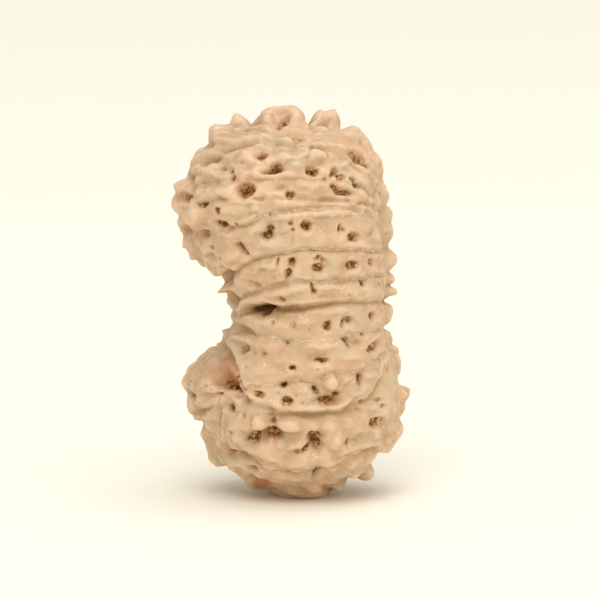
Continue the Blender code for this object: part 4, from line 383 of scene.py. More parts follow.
class Cut(Enum):
    """Kinds of relief spot: sign of the relief, crispness of its wall, and how far its lip overhangs.

    A positive lip makes the lower wall the steeper one, a negative lip the upper wall.
    """

    KNOB = (1.0, 1.5, 0.35)
    RIM_KNOB = (1.0, 1.8, 0.0)
    FIRM_KNOB = (1.0, 3.0, 0.3)
    HOLLOW = (-1.0, 1.1, 0.0)
    NOTCH = (-1.0, 1.3, -0.5)
    PIT = (-1.0, 2.0, -0.25)

    @property
    def sign(self) -> float:
        """Raised spots are positive, sunk ones negative."""
        return self.value[0]

    @property
    def crispness(self) -> float:
        """How upright the wall of the spot is."""
        return self.value[1]

    @property
    def lip(self) -> float:
        """Share by which the lower wall is steeper than the upper one."""
        return self.value[2]

    @property
    def on_rim(self) -> bool:
        """Whether the spot is measured along the outline and from front to back."""
        return self in (Cut.RIM_KNOB, Cut.NOTCH)


class Zone(Enum):
    """Parts of the surface that a seeded set may cover."""

    REAR = "the sides and the back"
    FRONT_LOBES = "the front of both lobes"
    FRONT_WAIST = "the front of the waist and the foot"
    ALL = "all but the foot"


@dataclass(frozen=True)
class SeededSet:
    """Spots that are strewn over a zone: how many, half widths, sizes and closest centres."""

    seed: int
    zone: Zone
    cut: Cut
    count: int
    half_widths: tuple[float, float]
    sizes: tuple[float, float]
    gap: float


# Each set keeps its gap to the measured spots and to its own spots, and may overlie another set.
SEEDED_SETS = (
    SeededSet(1, Zone.REAR, Cut.KNOB, 210, (0.5, 1.0), (0.16, 0.38), 1.15),
    SeededSet(2, Zone.REAR, Cut.HOLLOW, 60, (0.3, 0.6), (0.12, 0.25), 1.0),
    SeededSet(3, Zone.REAR, Cut.PIT, 60, (0.22, 0.4), (0.36, 0.55), 1.7),
    SeededSet(6, Zone.REAR, Cut.PIT, 130, (0.1, 0.2), (0.18, 0.34), 0.9),
    SeededSet(4, Zone.FRONT_LOBES, Cut.KNOB, 110, (0.28, 0.5), (0.1, 0.2), 0.75),
    SeededSet(7, Zone.FRONT_WAIST, Cut.KNOB, 50, (0.3, 0.6), (0.04, 0.1), 0.8),
    SeededSet(5, Zone.ALL, Cut.PIT, 260, (0.06, 0.1), (0.06, 0.12), 0.5),
)


def smoothstep(low: float, high: float, value: np.ndarray) -> np.ndarray:
    """Smooth ramp from 0 at low to 1 at high.

    Args:
        low: Value at which the ramp starts.
        high: Value at which it ends.
        value: Numbers to place on the ramp.

    Returns:
        Numbers from 0 to 1.
    """
    share = np.clip((value - low) / (high - low), 0.0, 1.0)
    return share * share * (3.0 - 2.0 * share)


def hump(value: np.ndarray, half_width: float, power: float = 2.0) -> np.ndarray:
    """Bell of height 1 over 0; a higher power makes its top flatter and its sides steeper."""
    return np.exp(-(value / half_width) ** power)


def lumps(points: np.ndarray, length: float, shift: float) -> np.ndarray:
    """Smooth random lumps in space.

    Args:
        points: Places, in millimetres.
        length: Size of the lumps.
        shift: Moves the pattern, so that two calls differ.

    Returns:
        One number a point, about -1 to 1.
    """
    move = Vector((shift, 2.7 * shift, -1.3 * shift))
    return np.array([noise.fractal(Vector(point) / length + move, 1.0, 2.0, 1) for point in points])


def drift(points: np.ndarray, length: float, shift: float) -> np.ndarray:
    """Smooth random offsets in space, one vector a point, about -1 to 1 on each axis."""
    move = Vector((shift, -shift, 3.1 * shift))
    return np.array([noise.noise_vector(Vector(point) / length + move) for point in points])


def folds(points: np.ndarray, spacing: float, shift: float) -> np.ndarray:
    """Soft folds that lie over one another, each with a crisp lower edge.

    Args:
        points: Places, in millimetres.
        spacing: Height from one fold to the next.
        shift: Moves the pattern, so that two calls differ.

    Returns:
        One number a point: 1 above an edge, falling to 0 where the next fold begins.
    """
    warp = 0.9 * lumps(points, 2.4, shift) + 0.35 * lumps(points, 0.8, shift + 3.0)
    share = (points[:, 2] / spacing + warp) % 1.0
    return (1.0 - share) * smoothstep(0.0, 0.14, share)


@dataclass(frozen=True)
class StoneForm:
    """The smooth kidney shape: a stack of oval sections that the relief is laid on."""

    rounding: float = 0.35
    samples: int = 1200

    def table(self) -> tuple[np.ndarray, np.ndarray]:
        """Rounds the profile along its arc.

        Returns:
            Arc lengths, and rows of height, middle x, half width and half depth.
        """
        rows = np.array(PROFILE)
        middle, half_width = (rows[:, 1] + rows[:, 2]) / 2, (rows[:, 2] - rows[:, 1]) / 2
        coarse = np.column_stack((rows[:, 0], middle, half_width, rows[:, 3]))
        girth = (coarse[:, 2] + coarse[:, 3]) / 2
        arc = np.concatenate(([0.0], np.cumsum(np.hypot(np.diff(coarse[:, 0]), np.diff(girth)))))
        fine = np.linspace(0.0, arc[-1], self.samples)
        dense = np.column_stack([np.interp(fine, arc, column) for column in coarse.T])
        reach = int(4 * self.rounding / fine[1])
        kernel = np.exp(-0.5 * (np.arange(-reach, reach + 1) * fine[1] / self.rounding) ** 2)
        kernel /= kernel.sum()
        mirrored = np.array([1.0, 1.0, -1.0, -1.0])
        padded = np.vstack((dense[reach:0:-1] * mirrored, dense, dense[-2:-reach - 2:-1] * mirrored))
        return fine, np.column_stack([np.convolve(column, kernel, "valid") for column in padded.T])

    def place(self, directions: np.ndarray) -> np.ndarray:
        """Lays directions from the middle of a sphere on the stone.

        Args:
            directions: Unit vectors.

        Returns:
            Points on the smooth stone.
        """
        arc, table = self.table()
        latitude = np.arccos(np.clip(directions[:, 2], -1.0, 1.0)) / math.pi * arc[-1]
        height, middle, half_width, half_depth = (np.interp(latitude, arc, column) for column in table.T)
        turn = np.arctan2(directions[:, 1], directions[:, 0])
        return np.column_stack((middle + half_width * np.cos(turn), half_depth * np.sin(turn), height))


@dataclass(frozen=True)
class Girth:
    """Where the nineteen mukhi lines run: round two pole lines, like the ribs of a bent melon.

    Each pole is x, y and the heights of the lower and the upper pole line. Angles are in degrees round a
    pole line, and shares go from the upper pole line to the lower one.
    """

    inner_pole: tuple[float, float, float, float] = (-4.1, -0.4, 9.8, 14.0)
    outer_pole: tuple[float, float, float, float] = (6.5, -0.9, 9.9, 18.6)
    cap_radius: float = 7.5
    waist: float = 6.4
    upper_angles: tuple[float, ...] = (58.0, 39.0, 29.0, 21.0)
    waist_shares: tuple[float, ...] = (0.08, 0.38, 0.62, 0.95)
    lower_angles: tuple[float, ...] = (18.0, 30.0, 55.0, 67.0)
    rear_upper_angles: tuple[float, ...] = (95.0, 132.0, 169.0)
    rear_waist_shares: tuple[float, ...] = (0.5,)
    rear_lower_angles: tuple[float, ...] = (169.0, 135.0, 101.0)

    @property
    def total(self) -> float:
        """Length once round."""
        return 2 * self.waist + 2 * math.pi * self.cap_radius

    def places(self) -> np.ndarray:
        """Positions of the nineteen lines along the girth, front ones first."""
        degree = math.radians(1.0) * self.cap_radius
        half = self.waist + 180.0 * degree
        front = [-angle * degree for angle in self.upper_angles]
        front += [share * self.waist for share in self.waist_shares]
        front += [self.waist + angle * degree for angle in self.lower_angles]
        rear = [self.waist + angle * degree for angle in reversed(self.rear_lower_angles)]
        rear += [half + share * self.waist for share in self.rear_waist_shares]
        top = half + self.waist
        rear += [top + (180.0 - angle) * degree for angle in reversed(self.rear_upper_angles)]
        return np.array(front + rear)

    def frame(self, points: np.ndarray) -> tuple[np.ndarray, np.ndarray, np.ndarray]:
        """Coordinates about the pole lines.

        Args:
            points: Places on the stone.

        Returns:
            Distance behind the pole lines, height over the upper one and height over the lower one.
        """
        inner = np.array(self.inner_pole[:2])
        span = np.array(self.outer_pole[:2]) - inner
        length = math.hypot(*span)
        axis = span / length
        offset = points[:, :2] - inner
        along = offset @ axis / length
        upper = self.inner_pole[3] + (self.outer_pole[3] - self.inner_pole[3]) * along
        lower = self.inner_pole[2] + (self.outer_pole[2] - self.inner_pole[2]) * along
        lean = math.cos(math.atan((self.outer_pole[3] - self.inner_pole[3]) / length))
        return offset @ np.array([-axis[1], axis[0]]), (points[:, 2] - upper) * lean, points[:, 2] - lower

    def coordinate(self, points: np.ndarray) -> tuple[np.ndarray, np.ndarray]:
        """Coordinate in which each mukhi line has one value.

        Args:
            points: Places on the stone.

        Returns:
            The coordinate, and how many millimetres one unit of it measures there.
        """
        behind, over, under = self.frame(points)
        cap, waist = self.cap_radius, self.waist
        share = np.clip(over / np.minimum(over - under, -1e-3), 0.0, 1.0)
        middle = np.where(behind < 0, share * waist, waist + math.pi * cap + (1 - share) * waist)
        upper = -np.arctan2(over, -behind) * cap
        lower = waist + np.arctan2(-under, -behind) * cap
        place = np.where(over > 0, upper, np.where(under < 0, lower, middle))
        radius = np.where(over > 0, np.hypot(over, behind), np.hypot(under, behind)) / cap
        stretch = np.where((over > 0) | (under < 0), radius, (under - over) / waist)
        return place, np.maximum(stretch, 0.02)


@dataclass
class Relief:
    """Relief of the stone, gathered kind by kind for every point of the smooth stone.

    The ground lies under the smooth stone by ground_drop, and by top_drop more at the top, so that the
    knobs reach the outline. A drift is length and shift, and a lump layer height, length and shift. The
    amounts of drift that bend spots and lines belong to the broad and the fine drift. Facing is 1 where the
    surface looks at the eye and negative behind the outline.
    """

    points: np.ndarray
    normals: np.ndarray
    form: StoneForm
    girth: Girth
    drifts: tuple[tuple[float, float], ...] = ((0.9, 3.0), (0.35, 8.0))
    spot_drift: tuple[float, float] = (0.14, 0.1)
    line_drift: tuple[float, float] = (0.1, 0.03)
    ground_drop: float = 0.45
    top_drop: float = 0.55
    top_heights: tuple[float, float] = (23.0, 25.0)
    lump_layers: tuple[tuple[float, float, float], ...] = (
        (0.2, 2.3, 1.0), (0.04, 0.6, 9.0), (0.012, 0.28, 13.0))
    knoll_height: float = 0.19
    knoll_length: float = 1.4
    fold_height: float = 0.16
    fold_spacing: float = 1.0
    band_swell: float = 0.14
    rear_band_swell: float = 0.26
    rear_line_depth: float = 0.3
    rear_line_half_width: float = 0.24
    rear_line_drift: float = 2.2
    spine_depth: float = 0.1
    spine_half_width: float = 0.6
    crown_stretch: float = 0.8
    foot_stretch: float = 0.7
    foot_rate: float = 1.6
    least_line_step: float = 0.02
    least_band: float = 0.05
    line_half_width: float = 0.15
    ledge_reach: float = 0.8
    ledge_edge: float = 0.07
    broken_lines: tuple[int, ...] = (0, 1, 2, 10, 11)
    crack_line: int = 6
    crack_half_width: float = 0.24
    hairline_half_width: float = 0.06
    spot_reach: float = 2.8
    spot_bend: float = 0.75
    halo_depth: float = 0.4
    halo_falloff: float = 0.4
    full_pit: float = 0.3
    waist_height: float = 11.0
    waist_half_height: float = 4.5
    lobe_foot: float = 1.5
    foot_height: float = 0.9
    rest_centre: tuple[float, float] = (0.9, -0.1)
    rest_half_size: tuple[float, float] = (1.7, 2.05)
    rest_fade: tuple[float, float] = (0.75, 1.6)
    rest_height: float = 3.0
    height: np.ndarray = field(init=False)
    pit: np.ndarray = field(init=False)
    crack: np.ndarray = field(init=False)
    seam: np.ndarray = field(init=False)
    seam_gap: np.ndarray = field(init=False)
    stain_and_shade: np.ndarray = field(init=False)
    facing: np.ndarray = field(init=False)
    wander: np.ndarray = field(init=False)
    drop: np.ndarray = field(init=False)
    ground: np.ndarray = field(init=False)
    x: np.ndarray = field(init=False)
    sight: np.ndarray = field(init=False)
    behind: np.ndarray = field(init=False)
    over: np.ndarray = field(init=False)
    under: np.ndarray = field(init=False)
    pole_gap: np.ndarray = field(init=False)
    front: np.ndarray = field(init=False)

    def __post_init__(self) -> None:
        """Works out what all kinds of relief share: view coordinates, facing and random drift."""
        count = len(self.points)
        self.height, self.pit, self.crack, self.seam, self.stain_and_shade = (np.zeros(count) for _ in range(5))
        self.seam_gap = np.full(count, FAR)
        self.facing = self.normals @ TOWARDS_EYE
        broad, fine = (drift(self.points, length, shift) for length, shift in self.drifts)
        self.wander = self.spot_drift[0] * broad + self.spot_drift[1] * fine
        self.drop = self.ground_drop + self.top_drop * smoothstep(*self.top_heights, self.points[:, 2])
        self.ground = self.points - self.normals * self.drop[:, None]
        moved = self.ground + self.line_drift[0] * broad + self.line_drift[1] * fine
        self.x, self.sight = moved[:, 0], moved @ SIGHT_UP
        self.behind, self.over, self.under = self.girth.frame(self.points)
        in_waist = (self.over < 0) & (self.under > 0)
        beyond = np.where(self.over > 0, self.over, self.under)
        self.pole_gap = np.where(in_waist, np.abs(self.behind), np.hypot(self.behind, beyond))
        self.front = smoothstep(0.05, 0.35, self.facing) * smoothstep(0.2, 1.3, -self.behind)

    def on_waist(self, edge: float) -> np.ndarray:
        """Share to which each point lies between the two pole lines, over a soft edge this wide each way."""
        return smoothstep(-edge, edge, -self.over) * smoothstep(-edge, edge, self.under)

    def line_gap(self, values: tuple[float, ...]) -> tuple[np.ndarray, np.ndarray]:
        """Distance in the view plane to a line of measured points.

        Args:
            values: x and height of each point of the line.

        Returns:
            Distance, and 1 above or left of the line and -1 on its other side.
        """
        knots = np.array(values).reshape(-1, 2)
        best = np.full(len(self.points), FAR)
        side = np.ones(len(self.points))
        for start, end in zip(knots[:-1], knots[1:]):
            run = end - start
            right, up = self.x - start[0], self.sight - start[1]
            share = np.clip((right * run[0] + up * run[1]) / (run @ run), 0.0, 1.0)
            gap = np.hypot(right - share * run[0], up - share * run[1])
            closer = gap < best
            best = np.where(closer, gap, best)
            side = np.where(closer, np.sign(run[0] * up - run[1] * right + 1e-9), side)
        return best, side

    def add_ground(self) -> None:
        """Lowers the ground so that the knobs reach the measured outline, and adds soft lumps and folds."""
        self.height -= self.drop
        self.height += self.knoll_height * (np.abs(lumps(self.points, self.knoll_length, 5.0)) - 0.2)
        for height, length, shift in self.lump_layers:
            self.height += height * lumps(self.points, length, shift)
        strength = smoothstep(-0.1, 0.5, lumps(self.points, 1.7, 31.0)) * (1.0 - 0.5 * self.on_waist(0.5))
        for centre_x, centre_sight, half_length, half_width in CALM_AREAS:
            right, up = (self.x - centre_x) / half_length, (self.sight - centre_sight) / half_width
            strength *= 1.0 - np.exp(-(right ** 2 + up ** 2) ** 1.5) * (self.facing > -0.3)
        self.height += self.fold_height * strength * (folds(self.points, self.fold_spacing, 21.0) - 0.5)

    def add_bands(self) -> None:
        """Swells the bands between the mukhi lines and cuts the lines of the sides and the back."""
        places = self.girth.places()
        place, stretch = self.girth.coordinate(self.points)
        total = self.girth.total
        turn_over = total - 0.5 * math.pi * self.girth.cap_radius
        place = np.where(place > turn_over, place - total, place) + self.rear_line_drift * self.wander[:, 2]
        traced, traced_stretch = self.traced_coordinate(places)
        rear = 1 - self.front
        place = place * rear + traced * self.front
        stretch = stretch * rear + traced_stretch * self.front
        order = np.concatenate((places - total, places, places + total))
        which = np.clip(np.searchsorted(order, place), 1, len(order) - 1)
        before, after = order[which - 1], order[which]
        first, second = np.abs(place - before) * stretch, np.abs(after - place) * stretch
        share = (place - before) / (after - before)

        unseen = 1 - smoothstep(0.0, 0.3, self.facing)
        swell = self.band_swell * self.front + self.rear_band_swell * rear * (0.3 + 0.7 * unseen)
        swell *= 1 - np.abs(2 * share - 1) ** 2.4
        groove = hump(first, self.rear_line_half_width) + hump(second, self.rear_line_half_width)
        groove *= self.rear_line_depth * rear * unseen * smoothstep(0.5, 3.2, self.pole_gap)
        self.height += swell * smoothstep(0.05, 1.3, self.pole_gap) - groove
        between_poles = (self.over < self.spine_half_width) & (self.under > -self.spine_half_width)
        self.height -= self.spine_depth * hump(self.pole_gap, self.spine_half_width) * between_poles
        self.seam_gap = np.where(self.front < 0.5, np.where(first < second, -first, second), self.seam_gap)
        self.seam = np.where(self.front < 0.5, 0.5, self.seam)

    def traced_coordinate(self, places: np.ndarray) -> tuple[np.ndarray, np.ndarray]:
        """Girth coordinate read from the measured front lines.

        Args:
            places: Positions of the mukhi lines along the girth.

        Returns:
            The coordinate, and how many millimetres one unit of it measures there.
        """
        rows = []
        for *_, values in MUKHI_LINES:
            pairs = np.array(values).reshape(-1, 2)
            rows.append(np.interp(self.x, pairs[:, 0], pairs[:, 1]))
        spread = self.least_line_step * np.arange(len(rows))[:, None]
        rows = np.minimum.accumulate(np.array(rows) - spread, axis=0)
        place = places[0] - (self.sight - rows[0]) / self.crown_stretch
        stretch = np.full(len(self.x), self.crown_stretch)
        for index in range(len(rows) - 1):
            gap = np.maximum(rows[index] - rows[index + 1], self.least_band)
            share = (rows[index] - self.sight) / gap
            width = places[index + 1] - places[index]
            inside = (share >= 0) & (share < 1)
            place = np.where(inside, places[index] + share * width, place)
            stretch = np.where(inside, gap / width, stretch)
        below = self.sight < rows[-1]
        place = np.where(below, places[len(rows) - 1] + (rows[-1] - self.sight) * self.foot_rate, place)
        return place, np.where(below, self.foot_stretch, stretch)

    def add_groove(self, gap: np.ndarray, side: np.ndarray, depth: float, half_width: float, ledge: float,
                   fade: np.ndarray) -> None:
        """Cuts a groove along a line, with the surface on its upper side standing proud.

        Args:
            gap: Distance to the line.
            side: Which side of it each point lies on.
            depth: Depth of the groove.
            half_width: Half width of the groove.
            ledge: How far the upper side stands proud of the lower one.
            fade: Share to which the line shows.
        """
        raised = side * (1 - np.exp(-gap / self.ledge_edge)) * hump(gap, self.ledge_reach)
        self.height += (0.5 * ledge * raised - depth * hump(gap, half_width)) * fade

    def open_crack(self, gap: np.ndarray, fade: np.ndarray) -> None:
        """Opens the crack under its lip, with a fine dark line where it closes.

        Args:
            gap: Distance to the line of the crack.
            fade: Share to which the line shows.
        """
        depth = np.interp(self.x, *np.array(CRACK_DEPTH).T) * fade
        wall = hump(gap, self.crack_half_width, 3.0)
        self.height -= depth * wall
        hairline = hump(gap, self.hairline_half_width)
        hairline *= smoothstep(3.4, 1.4, self.x) * smoothstep(-3.0, -2.0, self.x)
        # Crack mark for the finish: painted shade in the open crack where it runs deep, and the fine dark
        # line where it closes.
        self.crack = np.maximum(wall * smoothstep(0.35, 0.8, depth), 0.8 * hairline * fade)

    def add_front_lines(self) -> None:
        """Cuts the measured mukhi lines, the open crack and the creases of the front."""
        kept = smoothstep(-0.35, 0.35, lumps(self.points, 1.1, 41.0))
        broken = self.front * (kept + (1 - kept) * self.on_waist(0.6))
        for index, (depth, ledge, thread, values) in enumerate(MUKHI_LINES):
            gap, side = self.line_gap(values)
            fade = broken if index in self.broken_lines else self.front
            if index == self.crack_line:
                self.open_crack(gap, fade)
            self.add_groove(gap, side, depth, self.line_half_width, ledge, fade)
            closest = (gap < np.abs(self.seam_gap)) & (fade > 0.3)
            self.seam_gap = np.where(closest, gap * side, self.seam_gap)
            self.seam = np.where(closest, thread * smoothstep(-3.6, -1.5, self.x), self.seam)
        shows = smoothstep(-0.4, -0.1, self.facing)
        for depth, half_width, ledge, values in CREASES:
            self.add_groove(*self.line_gap(values), depth, half_width, ledge, shows)

    def stamp(self, at: np.ndarray, normal: np.ndarray, half_length: float, half_width: float, turn: float,
              size: float, cut: Cut, seen: bool = False) -> None:
        """Adds one spot of relief, an oval in the tangent plane at its centre.

        Args:
            at: Centre on the smooth stone.
            normal: Surface normal there.
            half_length: Half length of the oval.
            half_width: Half width of the oval.
            turn: Turn of its long way, in radians.
            size: Height or depth.
            cut: Kind of spot.
            seen: Whether the sizes are those that the eye sees, so that they grow where it grazes.
        """
        reach = self.spot_reach * max(half_length, half_width) / (LEAST_SHARE if seen else 1.0)
        near = np.where(np.abs(self.points - at).max(axis=1) < reach)[0]
        offset = self.points[near] - at + self.spot_bend * self.wander[near]
        side = np.cross(TOWARDS_EYE if cut.on_rim else [0.0, 0.0, 1.0], normal)
        side /= max(np.linalg.norm(side), 1e-6)
        rise = np.cross(normal, side)
        if seen:
            side, rise = (axis * max(math.sqrt(1.0 - min(1.0, (axis @ TOWARDS_EYE) ** 2)), LEAST_SHARE)
                          for axis in (side, rise))
        across = offset @ (math.cos(turn) * side + math.sin(turn) * rise) / half_length
        upward = offset @ (math.cos(turn) * rise - math.sin(turn) * side) / half_width
        upward /= np.where(upward < 0, 1.0 - cut.lip, 1.0 + cut.lip)
        deep = (offset @ normal / max(half_length, half_width)) ** 2
        shape = np.exp(-(across ** 2 + upward ** 2 + 0.35 * deep) ** cut.crispness)
        self.height[near] += cut.sign * size * shape
        if cut is Cut.PIT:
            halo = np.exp(-self.halo_falloff * (across ** 2 + upward ** 2 + deep))
            self.height[near] -= self.halo_depth * size * halo
            self.pit[near] = np.maximum(self.pit[near], shape * min(1.0, size / self.full_pit))
            # Painted shade: a red brown halo round the larger pits.
            self.stain_and_shade[near] = np.maximum(self.stain_and_shade[near], 0.5 * float(smoothstep(0.3, 0.6, size)) * halo)

    def add_measured_spots(self) -> list[np.ndarray]:
        """Adds the knobs, hollows and pits measured on the front and along the outline.

        Returns:
            Their centres.
        """
        visible = np.where(self.facing > -0.25)[0]
        still_x, still_sight = self.ground[visible, 0], self.ground[visible] @ SIGHT_UP
        centres = []
        kinds = ((KNOBS, Cut.KNOB), (RIM_KNOBS, Cut.RIM_KNOB), (FIRM_KNOBS, Cut.FIRM_KNOB),
                 (HOLLOWS, Cut.HOLLOW), (NOTCHES, Cut.NOTCH), (PITS, Cut.PIT))
        for rows, cut in kinds:
            for x, sight, half_length, half_width, turn, size in rows:
                miss = (still_x - x) ** 2 + (still_sight - sight) ** 2 - 0.02 * self.facing[visible]
                at = visible[np.argmin(miss)]
                centres.append(self.points[at])
                self.stamp(self.points[at], self.normals[at], half_length, half_width, math.radians(turn),
                           size, cut, seen=not cut.on_rim)
        return centres

    def add_stain_and_shade(self) -> None:
        """Marks the red brown areas, partly stain and partly painted shade, ovals in the view plane."""
        shows = smoothstep(-0.1, 0.15, self.facing)
        for x, sight, half_length, half_width, turn, strength in STAIN_AND_SHADE_AREAS:
            angle = math.radians(turn)
            right, up = self.x - x, self.sight - sight
            across = (math.cos(angle) * right + math.sin(angle) * up) / half_length
            upward = (math.cos(angle) * up - math.sin(angle) * right) / half_width
            shape = strength * np.exp(-(across ** 2 + upward ** 2) ** 1.3)
            self.stain_and_shade = np.maximum(self.stain_and_shade, shape * shows)

    def zones(self) -> dict[Zone, np.ndarray]:
        """For each zone, whether each point lies in it."""
        height = self.points[:, 2]
        above_foot = height > self.foot_height
        front = self.facing > 0.05
        off_waist = np.abs(height - self.waist_height) > self.waist_half_height
        lobes = front & off_waist & (height > self.lobe_foot)
        return {
            Zone.REAR: (self.facing < 0.05) & above_foot & (self.pole_gap > self.spine_half_width),
            Zone.FRONT_LOBES: lobes,
            Zone.FRONT_WAIST: front & ~lobes,
            Zone.ALL: above_foot,
        }

    def add_seeded_spots(self, taken: list[np.ndarray]) -> None:
        """Strews every seeded set over its zone, clear of the measured spots.

        Args:
            taken: Centres of the measured spots.
        """
        zones = self.zones()
        for spots in SEEDED_SETS:
            self.scatter(spots, taken, zones[spots.zone])

    def scatter(self, spots: SeededSet, taken: list[np.ndarray], keep: np.ndarray) -> None:
        """Strews one seeded set.

        Args:
            spots: The set.
            taken: Centres to stay clear of.
            keep: For each point, whether a spot may sit there.
        """
        rng = np.random.default_rng(SEED + spots.seed)
        tries = spots.count * 30
        directions = rng.normal(size=(tries, 3))
        directions /= np.linalg.norm(directions, axis=1)[:, None]
        draws = rng.uniform(size=(tries, 4))
        places = self.form.place(directions)
        placed = list(taken)
        for place, draw in zip(places, draws):
            if len(placed) >= spots.count + len(taken):
                break
            if np.min(np.linalg.norm(np.array(placed) - place, axis=1)) < spots.gap:
                continue
            at = int(np.argmin(np.linalg.norm(self.points - place, axis=1)))
            if not keep[at]:
                continue
            placed.append(place)
            (narrow, broad), (low, high) = spots.half_widths, spots.sizes
            half_width = narrow + (broad - narrow) * draw[0]
            self.stamp(place, self.normals[at], half_width * (1.0 + 0.5 * draw[1]), half_width,
                       draw[2] - 0.5, low + (high - low) * draw[3], spots.cut)

    def settle(self) -> np.ndarray:
        """Fades the relief out over the spot that the stone rests on.

        Returns:
            The points with their relief.
        """
        spread = np.hypot(*((self.points[:, :2] - self.rest_centre) / self.rest_half_size).T)
        fade = np.where(self.points[:, 2] < self.rest_height, smoothstep(*self.rest_fade, spread), 1.0)
        raised = self.points + self.normals * (self.height * fade)[:, None]
        raised[:, 2] = np.maximum(raised[:, 2], 0.0)
        return raised


@dataclass
class NodeBoard:
    """Small helpers that add nodes to one material."""

    tree: bpy.types.NodeTree

    def feed(self, socket: Socket, value: object) -> None:
        """Links a socket to another, or sets its value."""
        if isinstance(value, Socket):
            self.tree.links.new(value, socket)
        elif isinstance(value, tuple):
            socket.default_value = (*value, 1.0)
        else:
            socket.default_value = value

    def noise(self, coordinates: Socket, scale: float, detail: float, shift: float = 0.0) -> Socket:
        """Adds a noise texture and gives its value.

        Args:
            coordinates: Coordinates to read.
            scale: Turns a metre.
            detail: How many finer layers there are.
            shift: Moves the pattern, so that it doesn't follow another one.

        Returns:
            Its value.
        """
        if shift:
            mapping = self.tree.nodes.new("ShaderNodeMapping")
            mapping.inputs["Location"].default_value = (shift, -shift, 2.0 * shift)
            self.tree.links.new(coordinates, mapping.inputs["Vector"])
            coordinates = mapping.outputs["Vector"]
        node = self.tree.nodes.new("ShaderNodeTexNoise")
        node.inputs["Scale"].default_value = scale
        node.inputs["Detail"].default_value = detail
        self.tree.links.new(coordinates, node.inputs["Vector"])
        return node.outputs["Fac"]

    def attribute(self, name: str) -> Socket:
        """Reads a number that is stored on the mesh."""
        node = self.tree.nodes.new("ShaderNodeAttribute")
        node.attribute_name = name
        return node.outputs["Fac"]

    def math(self, operation: str, first: object, second: object = 0.0) -> Socket:
        """Adds a Math node and gives its value."""
        node = self.tree.nodes.new("ShaderNodeMath")
        node.operation = operation
        self.feed(node.inputs[0], first)
        self.feed(node.inputs[1], second)
        return node.outputs[0]

    def scaled(self, value: Socket, factor: float) -> Socket:
        """Multiplies a value by a number."""
        return self.math("MULTIPLY", value, factor)

    def product(self, first: Socket, second: Socket) -> Socket:
        """Multiplies two values."""
        return self.math("MULTIPLY", first, second)

    def frayed(self, value: Socket, pattern: Socket, amount: float) -> Socket:
        """Adds an amount of a pattern about its middle to a value, so that its edges turn uneven."""
        return self.math("ADD", value, self.scaled(self.math("SUBTRACT", pattern, 0.5), amount))

    def ramp(self, value: Socket, low: float, high: float) -> Socket:
        """Maps low to 0 and high to 1, smoothly and within those bounds.

        Args:
            value: Number to map.
            low: Where the result is 0.
            high: Where it is 1; it may lie below low.

        Returns:
            The mapped number.
        """
        node = self.tree.nodes.new("ShaderNodeMapRange")
        node.interpolation_type = "SMOOTHSTEP"
        flip = high < low
        node.inputs["From Min"].default_value = min(low, high)
        node.inputs["From Max"].default_value = max(low, high)
        node.inputs["To Min"].default_value = 1.0 if flip else 0.0
        node.inputs["To Max"].default_value = 0.0 if flip else 1.0
        self.tree.links.new(value, node.inputs["Value"])
        return node.outputs["Result"]

    def mix(self, share: Socket, first: object, second: object) -> Socket:
        """Mixes two colours by a share."""
        node = self.tree.nodes.new("ShaderNodeMix")
        node.data_type = "RGBA"
        self.feed(node.inputs["Factor"], share)
        self.feed(node.inputs[6], first)
        self.feed(node.inputs[7], second)
        return node.outputs[2]


class Pattern(Enum):
    """Noise that the finish reads: scale, detail and shift."""

    BROAD = (330.0, 2.0, 0.0)
    PATCH = (620.0, 3.0, 0.02)
    MOTTLE = (1900.0, 4.0, 0.0)
    CRUMBS = (4200.0, 2.0, 0.0)
    DOTS = (5200.0, 2.0, 0.0)
    GRAIN = (7000.0, 3.0, 0.0)
    FLECKS = (7600.0, 1.0, 0.05)
    DUST = (9000.0, 1.0, 0.0)


